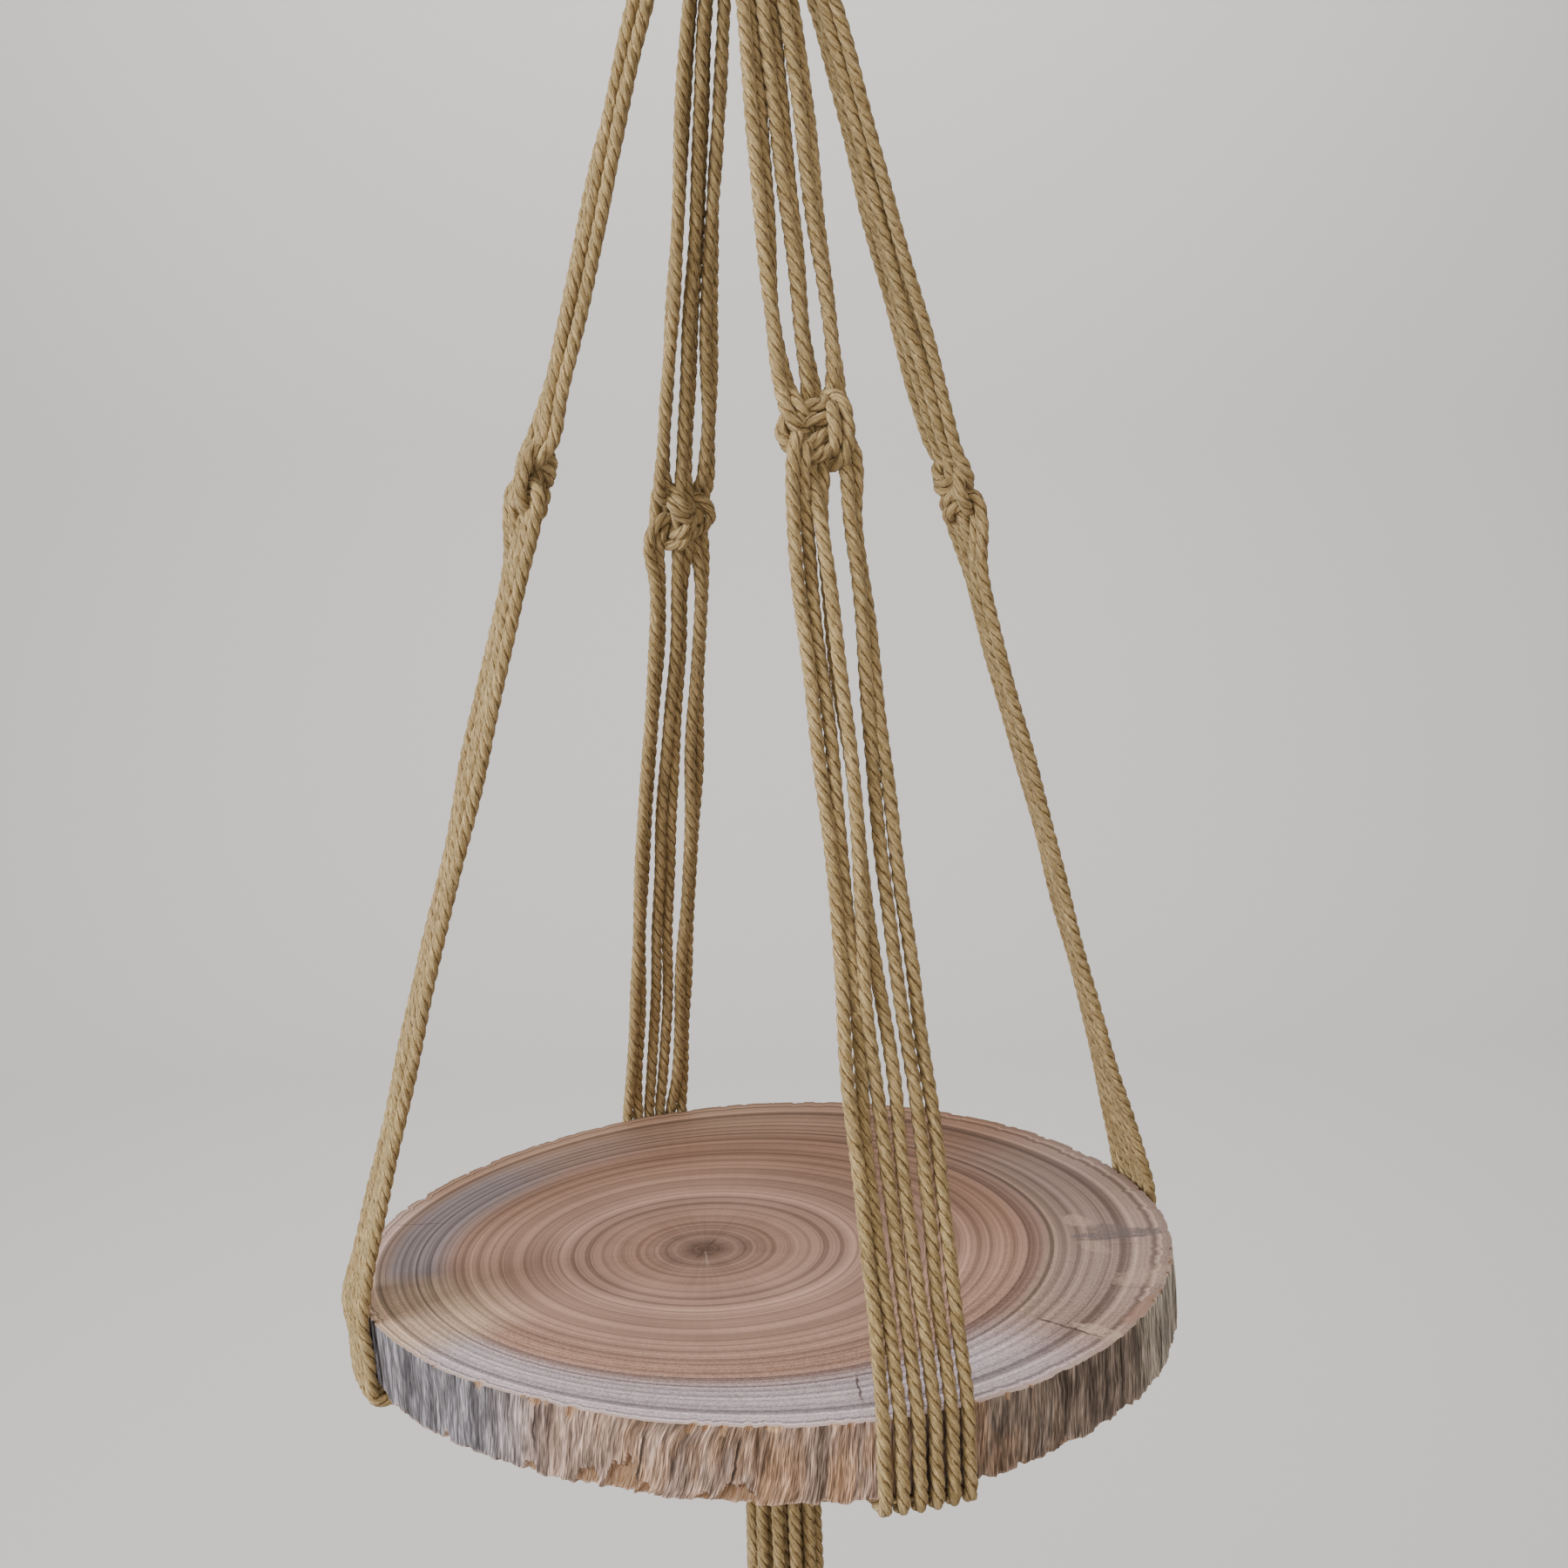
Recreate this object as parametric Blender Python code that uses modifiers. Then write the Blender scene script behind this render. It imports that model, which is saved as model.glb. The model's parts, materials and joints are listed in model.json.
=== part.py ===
"""Macrame hanging shelf with a wood round.

A live-edge slice of a tree trunk hangs in four arms of twisted cotton cord. Each arm is
six cords, tied once in a square knot with doubled cords, laid over the rim and drawn in
under the wood. A wrap gathers all the cords above the arms, where they fold into the
hanging loop, and a second wrap gathers them under the wood, above the loose tail.

Metres, +Z up. The origin is the hanging point, inside the top of the loop.
"""

import math

import bmesh
import bpy
import numpy as np

# Cord
CORD_DIAMETER = 0.0050
STRAND_RADIUS = 0.0022
SEAT_GAP = 0.0003
EDGE_CLEARANCE = 0.0020

# Heights, downwards from the hanging point
LOOP_DROP = 0.060
TOP_WRAP_TURNS = 9
WRAP_PITCH = 0.0049
WRAP_STEPS = 14
GATHER_HEIGHT = 0.541
WOOD_THICKNESS = 0.0275
UNDER_BEND = 0.0180
BOTTOM_WRAP_TURNS = 8
TAIL_LENGTH = 0.200

TOP_WRAP_TOP = -LOOP_DROP
TOP_WRAP_BOTTOM = TOP_WRAP_TOP - TOP_WRAP_TURNS * WRAP_PITCH
SHELF_TOP = TOP_WRAP_BOTTOM - GATHER_HEIGHT
SHELF_UNDERSIDE = SHELF_TOP - WOOD_THICKNESS
BOTTOM_WRAP_TOP = SHELF_UNDERSIDE - UNDER_BEND
BOTTOM_WRAP_BOTTOM = BOTTOM_WRAP_TOP - BOTTOM_WRAP_TURNS * WRAP_PITCH
TAIL_END = BOTTOM_WRAP_BOTTOM - SEAT_GAP - TAIL_LENGTH

# Wood round: a circle with an off-centre bulge, an oval, and waves of three and four
WOOD_RADIUS = 0.1533
WOOD_SEGMENTS = 96
OUTLINE_LOBES = (
    # waves round the rim, share of the radius, bearing of a crest in degrees
    (1, 0.0145, 102.0),
    (2, 0.0090, 11.0),
    (3, 0.0160, 49.0),
    (4, 0.0075, -6.0),
)
BARK_RIDGES = (
    # ridges round the rim, height of a ridge, turn in degrees
    (23, 0.0004, 10.0),
    (37, 0.0003, 50.0),
)
BARK_DEPTH = sum(height for _, height, _ in BARK_RIDGES)
RIM_SLANT = 0.0020
RIM_SLANT_BEARING = -32.0
RIM_LEVELS = (
    # share of the thickness, drawn in by
    (0.00, 0.0010),
    (0.10, 0.0001),
    (0.50, 0.0000),
    (0.92, 0.0000),
    (1.00, 0.0005),
)

# The four arms
ARMS = (
    # name, bearing in degrees, height of the knot above the shelf, turn of the knot about the
    # arm in degrees, pitch of the cords over the rim
    ("front", -90.0, 0.313, 0.0, 0.0059),
    ("right", 2.6, 0.284, 9.0, 0.0056),
    ("back", 91.6, 0.272, 0.0, 0.0051),
    ("left", 180.0, 0.296, 3.0, 0.0056),
)
SPREADS = {
    # height above the shelf, turn of the flat arm about its own line in degrees, and for each
    # of the three pairs of cords its place across and half its spacing in millimetres
    "front": (
        (0.018, 0.0, (-11.8, 2.6), (-0.2, 2.9), (11.7, 2.9)),
        (0.120, 0.0, (-11.3, 2.2), (-1.8, 2.8), (10.3, 2.7)),
        (0.160, 0.0, (-9.8, 2.1), (-1.9, 1.4), (9.1, 2.5)),
        (0.202, 0.0, (-8.9, 2.4), (-0.6, 0.9), (9.5, 2.4)),
        (0.283, 0.0, (-8.9, 2.3), (-1.6, 0.8), (9.5, 1.6)),
        (0.343, 0.0, (-10.3, 1.3), (-0.6, 1.2), (9.4, 0.8)),
        (0.383, 0.0, (-8.9, 1.9), (-0.2, 1.9), (8.7, 1.8)),
        (0.450, 0.0, (-7.0, 1.9), (0.0, 1.9), (7.0, 1.9)),
    ),
    "right": (
        (0.018, 6.0, (-11.2, 2.7), (0.0, 2.7), (11.2, 2.7)),
        (0.055, 14.0, (-10.6, 2.5), (0.0, 2.5), (10.6, 2.5)),
        (0.110, 18.0, (-10.2, 2.3), (0.0, 2.3), (10.2, 2.3)),
        (0.180, 19.0, (-9.8, 2.3), (0.0, 2.3), (9.8, 2.3)),
        (0.254, 13.0, (-9.5, 2.3), (0.3, 2.2), (9.6, 2.3)),
        (0.314, 7.0, (-9.3, 1.4), (0.2, 1.4), (9.3, 1.4)),
        (0.380, 7.0, (-7.6, 1.4), (0.0, 1.4), (7.6, 1.4)),
        (0.450, 8.0, (-6.8, 1.5), (0.0, 1.5), (6.8, 1.5)),
    ),
    "back": (
        (0.018, 0.0, (-11.2, 1.9), (-0.4, 2.7), (10.3, 1.9)),
        (0.071, 0.0, (-10.8, 1.8), (-0.2, 2.6), (10.2, 1.7)),
        (0.150, 0.0, (-10.2, 1.7), (0.4, 2.3), (9.9, 1.2)),
        (0.189, 0.0, (-10.0, 1.6), (0.1, 1.9), (9.5, 1.5)),
        (0.242, 0.0, (-9.8, 1.3), (-0.4, 1.7), (8.6, 1.6)),
        (0.302, 0.0, (-8.9, 1.4), (0.1, 1.4), (8.7, 0.8)),
        (0.352, 0.0, (-7.2, 1.4), (0.3, 1.4), (8.0, 0.5)),
        (0.450, 0.0, (-6.6, 0.8), (-0.6, 1.2), (5.8, 1.4)),
    ),
    "left": (
        (0.018, 3.0, (-11.2, 2.7), (0.0, 2.7), (11.2, 2.7)),
        (0.055, 6.0, (-10.6, 2.5), (0.0, 2.5), (10.6, 2.5)),
        (0.110, 7.0, (-10.2, 2.3), (0.0, 2.3), (10.2, 2.3)),
        (0.190, 6.0, (-9.8, 2.3), (0.0, 2.3), (9.8, 2.3)),
        (0.266, 3.0, (-9.5, 2.3), (0.3, 2.2), (9.6, 2.3)),
        (0.326, 10.0, (-9.3, 1.4), (0.2, 1.4), (9.3, 1.4)),
        (0.380, 12.0, (-7.6, 1.4), (0.0, 1.4), (7.6, 1.4)),
        (0.450, 12.0, (-6.8, 1.5), (0.0, 1.5), (6.8, 1.5)),
    ),
}
UNDER_KNOT_ROWS = 5
PAIR_REACH = 0.0024
CORDS_PER_ARM = 6
TUCKED_PITCH = 0.00475
GATHER_RADIUS = 0.0098
BUNDLE_LEAD = 0.010

# Places of one arm's cords in a round bundle: ring radius, bearing in degrees,
# how far the cord dips under the wood before it turns down
OUTER_RING = 0.0124
MIDDLE_RING = 0.0078
INNER_RING = 0.0036
BUNDLE_UNDER = (
    (OUTER_RING, -30.0, 0.0045),
    (MIDDLE_RING, -22.5, 0.0022),
    (OUTER_RING, 0.0, 0.0049),
    (INNER_RING, 0.0, 0.0008),
    (MIDDLE_RING, 22.5, 0.0022),
    (OUTER_RING, 30.0, 0.0045),
)
BUNDLE_OVER = (
    (OUTER_RING, -30.0),
    (MIDDLE_RING, -22.5),
    (OUTER_RING, 0.0),
    (INNER_RING, 0.0),
    (OUTER_RING, 30.0),
    (MIDDLE_RING, 22.5),
)
BUNDLE_RADIUS = OUTER_RING + CORD_DIAMETER / 2

# Square knot in doubled cords, in millimetres from its centre, as seen from outside.
# Each row places the middle of a pair, and the step from there to the pair's right cord:
# across, out, up, step across, step out, step up
RIGHT_PAIR_KNOT = (
    (8.6, 0.2, 14.5, 1.7, -1.3, 0.0),
    (6.6, 1.6, 9.0, 1.7, 0.0, -1.5),
    (2.2, 3.8, 5.6, 0.0, 0.0, -2.25),
    (-2.8, 3.8, 5.4, 0.0, 0.0, -2.25),
    (-7.4, 1.2, 3.8, 1.2, 0.0, -1.9),
    (-9.3, -0.6, -0.2, 2.25, 0.0, 0.0),
    (-7.2, 1.2, -4.6, 1.2, 0.0, 1.9),
    (-2.8, 3.8, -7.0, -0.5, 0.0, 2.2),
    (1.8, 3.8, -4.6, -0.9, 0.0, 2.05),
    (6.4, 1.6, -3.4, 0.6, 0.0, 2.15),
    (10.2, 0.0, -6.6, 2.0, 0.0, 1.0),
    (11.0, 0.0, -13.0, 2.2, -0.6, 0.0),
)
LEFT_PAIR_KNOT = (
    (-9.2, 1.0, 14.5, 1.9, -1.2, 0.0),
    (-8.6, 3.8, 8.2, 2.0, 0.0, 0.9),
    (-6.4, 4.0, 3.0, 1.4, 0.0, 1.7),
    (-3.6, 0.4, 1.4, 0.2, 0.0, 2.2),
    (-0.6, -3.8, 2.0, 0.0, 0.0, 2.2),
    (3.0, -3.6, 5.6, -0.9, 0.0, 2.0),
    (4.6, 0.4, 9.0, -0.2, 0.0, 2.2),
    (6.4, 5.2, 7.9, 1.9, 0.0, 1.2),
    (6.9, 6.3, 1.6, 2.25, 0.0, 0.0),
    (6.7, 5.6, -5.4, 2.2, 0.0, -0.5),
    (5.4, 1.4, -9.4, 1.3, 0.0, -1.8),
    (2.0, -3.6, -8.4, 0.0, 0.0, -2.2),
    (-2.2, -3.8, -5.0, 0.0, 0.0, -2.2),
    (-5.0, 0.2, -3.4, 0.2, 0.0, -2.2),
    (-7.2, 5.2, -5.2, 1.7, 0.0, -1.4),
    (-8.8, 4.2, -12.6, 2.1, -0.6, 0.0),
)
FILLER_KNOT = (
    (0.2, 0.0, 13.5, 1.7, -1.2, 0.0),
    (0.0, 0.0, 6.0, 2.25, 0.0, 0.0),
    (-0.4, 0.0, -6.0, 2.25, 0.0, 0.0),
    (-0.9, 0.0, -13.5, 2.25, -0.3, 0.0),
)
MILLIMETRE = 0.001

# Hanging loop: twelve cords folded over in one lobed rope
LOOP_ROPE_RADIUS = 0.0092
LOOP_GROOVE = 0.0011
LOOP_LOBES = 9
LOOP_HALF_WIDTH = 0.0200
LOOP_FOOT = 0.0082
LOOP_FOOT_SCALE = 0.80

# Fineness of the strands' tubes
FINE_STEPS = 8
ROUTE_TOLERANCE = 0.0007
LONGEST_SEGMENT = 0.110

CORD_COLOUR = (0.46, 0.37, 0.22, 1.0)
WOOD_COLOUR = (0.50, 0.33, 0.26, 1.0)


def clear_scene():
    """Removes whatever the scene holds."""
    for thing in list(bpy.data.objects):
        bpy.data.objects.remove(thing, do_unlink=True)


def make_collection(name):
    group = bpy.data.collections.new(name)
    bpy.context.scene.collection.children.link(group)
    return group


def make_material(name, colour, roughness):
    material = bpy.data.materials.new(name)
    material.use_nodes = True
    shader = material.node_tree.nodes["Principled BSDF"]
    shader.inputs["Base Color"].default_value = colour
    shader.inputs["Roughness"].default_value = roughness
    shader.inputs["Metallic"].default_value = 0.0
    return material


def wood_radius(bearing, share):
    """Rim radius at a bearing in radians and a share of the thickness from the underside."""
    radius = WOOD_RADIUS
    for waves, swing, crest in OUTLINE_LOBES:
        radius += WOOD_RADIUS * swing * math.cos(waves * (bearing - math.radians(crest)))
    slant = RIM_SLANT * math.cos(bearing - math.radians(RIM_SLANT_BEARING))
    return radius + slant * (1.0 - share)


def bark_height(bearing):
    """Low ridges that run down the bark."""
    return sum(
        height * math.sin(ridges * bearing + math.radians(turn))
        for ridges, height, turn in BARK_RIDGES
    )


def make_wood(group, material):
    """A drum with rings at the rim's levels, its wall moved out to the live edge."""
    mesh = bmesh.new()
    bmesh.ops.create_cone(
        mesh,
        cap_ends=True,
        cap_tris=False,
        segments=WOOD_SEGMENTS,
        radius1=1.0,
        radius2=1.0,
        depth=1.0,
    )
    bmesh.ops.translate(mesh, verts=mesh.verts, vec=(0.0, 0.0, 0.5))
    for share, _ in RIM_LEVELS[1:-1]:
        everything = list(mesh.verts) + list(mesh.edges) + list(mesh.faces)
        bmesh.ops.bisect_plane(mesh, geom=everything, plane_co=(0, 0, share), plane_no=(0, 0, 1))
    shares = [share for share, _ in RIM_LEVELS]
    insets = [inset for _, inset in RIM_LEVELS]
    for vert in mesh.verts:
        bearing = math.atan2(vert.co.y, vert.co.x)
        share = vert.co.z
        radius = wood_radius(bearing, share) + bark_height(bearing)
        radius -= float(np.interp(share, shares, insets))
        vert.co = (
            radius * math.cos(bearing),
            radius * math.sin(bearing),
            SHELF_UNDERSIDE + share * WOOD_THICKNESS,
        )
    data = bpy.data.meshes.new("wood_round")
    mesh.to_mesh(data)
    mesh.free()
    data.shade_smooth()
    data.set_sharp_from_angle(angle=math.radians(40))
    wood = bpy.data.objects.new("wood_round", data)
    wood.data.materials.append(material)
    group.objects.link(wood)
    return wood


def cord_side(index):
    """Which side of its pair a cord is on."""
    return 1 if index % 2 else -1


def from_middle(index, pitch):
    """Place of a cord across the arm where all six lie at one pitch."""
    return (index - (CORDS_PER_ARM - 1) / 2) * pitch


def rim_out(bearing, across, share):
    """How far out the rim lies, along the arm's bearing, beside its middle line."""
    turn = math.asin(across / WOOD_RADIUS)
    return (wood_radius(bearing + turn, share) + BARK_DEPTH) * math.cos(turn)


def under_route(bearing, index, rim_pitch):
    """A cord's points from the wrap under the wood out to the rim's top edge.

    Each point is (out, across, up), with up counted from the shelf's top.
    """
    ring, place, dip = BUNDLE_UNDER[index]
    ring_out = ring * math.cos(math.radians(place))
    ring_across = ring * math.sin(math.radians(place))
    at_rim = from_middle(index, rim_pitch)
    tucked = from_middle(index, TUCKED_PITCH)
    seat = -WOOD_THICKNESS - STRAND_RADIUS - SEAT_GAP
    hold = STRAND_RADIUS + EDGE_CLEARANCE
    low = rim_out(bearing, at_rim, 0.0)
    high = rim_out(bearing, at_rim, 1.0)
    end = -WOOD_THICKNESS - UNDER_BEND + SEAT_GAP
    return [
        (ring_out, ring_across, end),
        (ring_out, ring_across, seat - dip - 0.0090),
        (ring_out + 0.0025, ring_across, seat - dip - 0.0028),
        (ring_out + 0.0085, ring_across + 0.30 * tucked, seat - dip * 0.9),
        (0.0300, tucked, seat - dip * 0.3),
        (0.0900, (tucked + at_rim) / 2, seat),
        (low - 0.0180, at_rim, seat),
        (low - 0.0045, at_rim, -WOOD_THICKNESS - hold * 0.92),
        (low + hold * 0.71, at_rim, -WOOD_THICKNESS - hold * 0.71),
        (low + hold, at_rim, -WOOD_THICKNESS + 0.0030),
        ((low + high) / 2 + hold - 0.0006, at_rim, -WOOD_THICKNESS / 2),
        (high + hold, at_rim, -0.0010),
    ]


def arm_line(bearing, height):
    """The arm's middle line: out from the axis at a height above the shelf."""
    foot = rim_out(bearing, 0.0, 1.0) + STRAND_RADIUS + EDGE_CLEARANCE
    return foot + (GATHER_RADIUS - foot) * height / GATHER_HEIGHT


def arm_lean(bearing):
    foot = arm_line(bearing, 0.0)
    return math.atan2(foot - GATHER_RADIUS, GATHER_HEIGHT)


def turned(bearing, height, across, out, turn):
    """A point beside the arm's middle line, turned about that line: its out and across."""
    turn = math.radians(turn)
    return (
        arm_line(bearing, height) + out * math.cos(turn) + across * math.sin(turn),
        across * math.cos(turn) - out * math.sin(turn),
    )


def spread_point(bearing, index, row):
    """A cord's place in the spread arm.

    The two cords of a pair touch: what they lack in spacing they stand apart in depth.
    """
    height, turn, *pairs = row
    place, half = pairs[index // 2]
    side = cord_side(index)
    half *= MILLIMETRE
    depth = math.sqrt(max(PAIR_REACH**2 - half**2, 0.0))
    out, across = turned(bearing, height, place * MILLIMETRE + side * half, -side * depth, turn)
    return (out, across, height)


def knot_points(bearing, index, knot_height, turn):
    """A cord's points through the square knot, from the bottom up."""
    table = (LEFT_PAIR_KNOT, FILLER_KNOT, RIGHT_PAIR_KNOT)[index // 2]
    side = cord_side(index)
    lean = arm_lean(bearing)
    middle = arm_line(bearing, knot_height)
    points = []
    for across, out, up, step_across, step_out, step_up in reversed(table):
        across = (across + side * step_across) * MILLIMETRE
        out = (out + side * step_out) * MILLIMETRE
        up = (up + side * step_up) * MILLIMETRE
        out, across = turned(bearing, knot_height, across, out, turn)
        points.append((
            middle + (out - middle) * math.cos(lean) - up * math.sin(lean),
            across,
            knot_height + (out - middle) * math.sin(lean) + up * math.cos(lean),
        ))
    return points


def over_route(name, bearing, index, knot_height, turn):
    """A cord's points from the rim up through the knot to the top wrap."""
    rows = SPREADS[name]
    points = [spread_point(bearing, index, row) for row in rows[:UNDER_KNOT_ROWS]]
    points += knot_points(bearing, index, knot_height, turn)
    points += [spread_point(bearing, index, row) for row in rows[UNDER_KNOT_ROWS:]]
    ring, place = BUNDLE_OVER[index]
    ring_out = ring * math.cos(math.radians(place))
    ring_across = ring * math.sin(math.radians(place))
    out, across, height = points[-1]
    bundle_height = GATHER_HEIGHT - BUNDLE_LEAD
    for way in (0.4, 0.8, 1.0):
        points.append((
            out + (ring_out - out) * way,
            across + (ring_across - across) * way,
            height + (bundle_height - height) * way,
        ))
    points.append((ring_out, ring_across, GATHER_HEIGHT - SEAT_GAP))
    return points


def smooth_route(points, steps):
    """A centripetal Catmull-Rom curve through the points, with steps to each span."""
    points = np.asarray(points, dtype=float)
    first = 2 * points[0] - points[1]
    last = 2 * points[-1] - points[-2]
    held = np.vstack([first, points, last])
    knots = np.concatenate([[0.0], np.cumsum(np.sqrt(np.linalg.norm(np.diff(held, axis=0), axis=1)))])
    curve = []
    for i in range(1, len(held) - 2):
        before, start, end, after = held[i - 1 : i + 3]
        t0, t1, t2, t3 = knots[i - 1 : i + 3]
        t = np.linspace(t1, t2, steps, endpoint=False)[:, None]
        a1 = (t1 - t) / (t1 - t0) * before + (t - t0) / (t1 - t0) * start
        a2 = (t2 - t) / (t2 - t1) * start + (t - t1) / (t2 - t1) * end
        a3 = (t3 - t) / (t3 - t2) * end + (t - t2) / (t3 - t2) * after
        b1 = (t2 - t) / (t2 - t0) * a1 + (t - t0) / (t2 - t0) * a2
        b2 = (t3 - t) / (t3 - t1) * a2 + (t - t1) / (t3 - t1) * a3
        curve.append((t2 - t) / (t2 - t1) * b1 + (t - t1) / (t2 - t1) * b2)
    return np.vstack(curve + [points[-1:]])


def thin_out(curve, steps_per_span):
    """Keeps the curve's points where it bends, and few where it runs straight.

    The first and last spans run straight into the wraps, so both their ends are kept.
    """
    first, last = steps_per_span, len(curve) - 1 - steps_per_span
    kept = [0, first]
    for i in range(first + 2, last + 1):
        start = curve[kept[-1]]
        chord = curve[i] - start
        length = np.linalg.norm(chord)
        between = curve[kept[-1] + 1 : i] - start
        aside = np.linalg.norm(np.cross(between, chord), axis=1).max() / length
        if aside > ROUTE_TOLERANCE or length > LONGEST_SEGMENT:
            kept.append(i - 1)
    kept += [last, len(curve) - 1]
    return curve[kept]


def make_tube(name, points, radius, resolution):
    """A round tube on a polyline, made a closed mesh."""
    curve = bpy.data.curves.new(name, "CURVE")
    curve.dimensions = "3D"
    curve.bevel_depth = radius
    curve.bevel_resolution = resolution
    curve.use_fill_caps = True
    spline = curve.splines.new("POLY")
    spline.points.add(len(points) - 1)
    for place, point in zip(spline.points, points):
        place.co = (*point, 1.0)
    guide = bpy.data.objects.new(name, curve)
    return curve_to_mesh(guide, name)


def curve_to_mesh(guide, name):
    """The evaluated curve as a mesh object, with its caps welded; the curve is removed."""
    bpy.context.scene.collection.objects.link(guide)
    bpy.context.view_layer.update()
    seen = guide.evaluated_get(bpy.context.evaluated_depsgraph_get())
    data = bpy.data.meshes.new_from_object(seen)
    mesh = bmesh.new()
    mesh.from_mesh(data)
    bmesh.ops.remove_doubles(mesh, verts=mesh.verts, dist=1e-6)
    bmesh.ops.recalc_face_normals(mesh, faces=mesh.faces)
    mesh.to_mesh(data)
    mesh.free()
    place = guide.matrix_world.copy()
    bpy.data.objects.remove(guide, do_unlink=True)
    solid = bpy.data.objects.new(name, data)
    solid.matrix_world = place
    return solid


def shell_volume(verts):
    """Volume inside a closed shell, below zero where its faces look inwards."""
    faces = {face for vert in verts for face in vert.link_faces}
    volume = 0.0
    for face in faces:
        corners = [loop.vert.co for loop in face.loops]
        for second, third in zip(corners[1:], corners[2:]):
            volume += corners[0].dot(second.cross(third)) / 6.0
    return volume


def fill_trapped_voids(data):
    """Removes the shells that face inwards: pockets shut in between tight cords."""
    mesh = bmesh.new()
    mesh.from_mesh(data)
    unseen = set(mesh.verts)
    while unseen:
        shell = []
        waiting = [unseen.pop()]
        while waiting:
            vert = waiting.pop()
            shell.append(vert)
            for edge in vert.link_edges:
                other = edge.other_vert(vert)
                if other in unseen:
                    unseen.remove(other)
                    waiting.append(other)
        if shell_volume(shell) < 0.0:
            bmesh.ops.delete(mesh, geom=shell, context="VERTS")
    mesh.to_mesh(data)
    mesh.free()


def unite(name, solids, group, material):
    """The union of overlapping solids as one object."""
    body = solids[0]
    bpy.context.scene.collection.objects.link(body)
    others = make_collection(f"{name} pieces")
    for other in solids[1:]:
        others.objects.link(other)
    join = body.modifiers.new("join", "BOOLEAN")
    join.operation = "UNION"
    join.solver = "EXACT"
    join.operand_type = "COLLECTION"
    join.collection = others
    bpy.context.view_layer.update()
    seen = body.evaluated_get(bpy.context.evaluated_depsgraph_get())
    data = bpy.data.meshes.new_from_object(seen)
    for solid in solids:
        bpy.data.objects.remove(solid, do_unlink=True)
    bpy.data.collections.remove(others)
    fill_trapped_voids(data)
    data.name = name
    data.materials.clear()
    data.materials.append(material)
    data.shade_smooth()
    data.set_sharp_from_angle(angle=math.radians(60))
    united = bpy.data.objects.new(name, data)
    group.objects.link(united)
    return united


def turn_out(points, bearing):
    """Points given as (out, across, up from the shelf) set at an arm's bearing."""
    points = np.asarray(points, dtype=float)
    out, across, up = points.T
    return np.stack([
        out * math.cos(bearing) - across * math.sin(bearing),
        out * math.sin(bearing) + across * math.cos(bearing),
        up + SHELF_TOP,
    ], axis=1)


def make_arm(name, degrees, knot_height, knot_turn, rim_pitch, group, material):
    """Six cords, fused where they cross in the square knot."""
    bearing = math.radians(degrees)
    strands = []
    for index in range(CORDS_PER_ARM):
        route = under_route(bearing, index, rim_pitch)
        route += over_route(name, bearing, index, knot_height, knot_turn)
        curve = thin_out(smooth_route(turn_out(route, bearing), FINE_STEPS), FINE_STEPS)
        strands.append(make_tube(f"strand_{name}_{index}", curve, STRAND_RADIUS, 1))
    return unite(f"sling_{name}", strands, group, material)


def make_wrap(name, top, turns, group, material):
    """A cord wound round the bundle: a turned profile with one ridge for each turn."""
    groove = BUNDLE_RADIUS + CORD_DIAMETER * 0.62
    crest = BUNDLE_RADIUS + CORD_DIAMETER * 0.94
    profile = [(0.0, top), (groove, top)]
    for turn in range(turns):
        start = top - turn * WRAP_PITCH
        profile.append((crest, start - WRAP_PITCH * 0.27))
        profile.append((crest, start - WRAP_PITCH * 0.73))
        profile.append((groove, start - WRAP_PITCH))
    profile.append((0.0, top - turns * WRAP_PITCH))
    data = bpy.data.meshes.new(name)
    edges = [(i, i + 1) for i in range(len(profile) - 1)]
    data.from_pydata([(radius, 0.0, height) for radius, height in profile], edges, [])
    wrap = bpy.data.objects.new(name, data)
    spin = wrap.modifiers.new("turn", "SCREW")
    spin.axis = "Z"
    spin.steps = WRAP_STEPS
    spin.render_steps = WRAP_STEPS
    spin.use_merge_vertices = True
    spin.merge_threshold = 0.00001
    wrap.data.materials.append(material)
    group.objects.link(wrap)
    return wrap


def loop_line():
    """Middle line of the loop's rope, as (x, z, scale): up one leg, over, and down the other."""
    top = LOOP_ROPE_RADIUS
    arch_centre = top - LOOP_HALF_WIDTH
    leg = [
        (-LOOP_FOOT, -LOOP_DROP + SEAT_GAP, LOOP_FOOT_SCALE),
        (-LOOP_FOOT, -LOOP_DROP + 0.0070, LOOP_FOOT_SCALE),
        (-LOOP_FOOT - 0.0040, -LOOP_DROP + 0.0170, 0.90),
        (-LOOP_HALF_WIDTH + 0.0035, -LOOP_DROP + 0.0290, 1.0),
    ]
    arch = [
        (-LOOP_HALF_WIDTH * math.cos(turn), arch_centre + LOOP_HALF_WIDTH * math.sin(turn), 1.0)
        for turn in np.radians(np.arange(0.0, 181.0, 22.5))
    ]
    return leg + arch + [(-x, z, scale) for x, z, scale in reversed(leg)]


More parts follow.
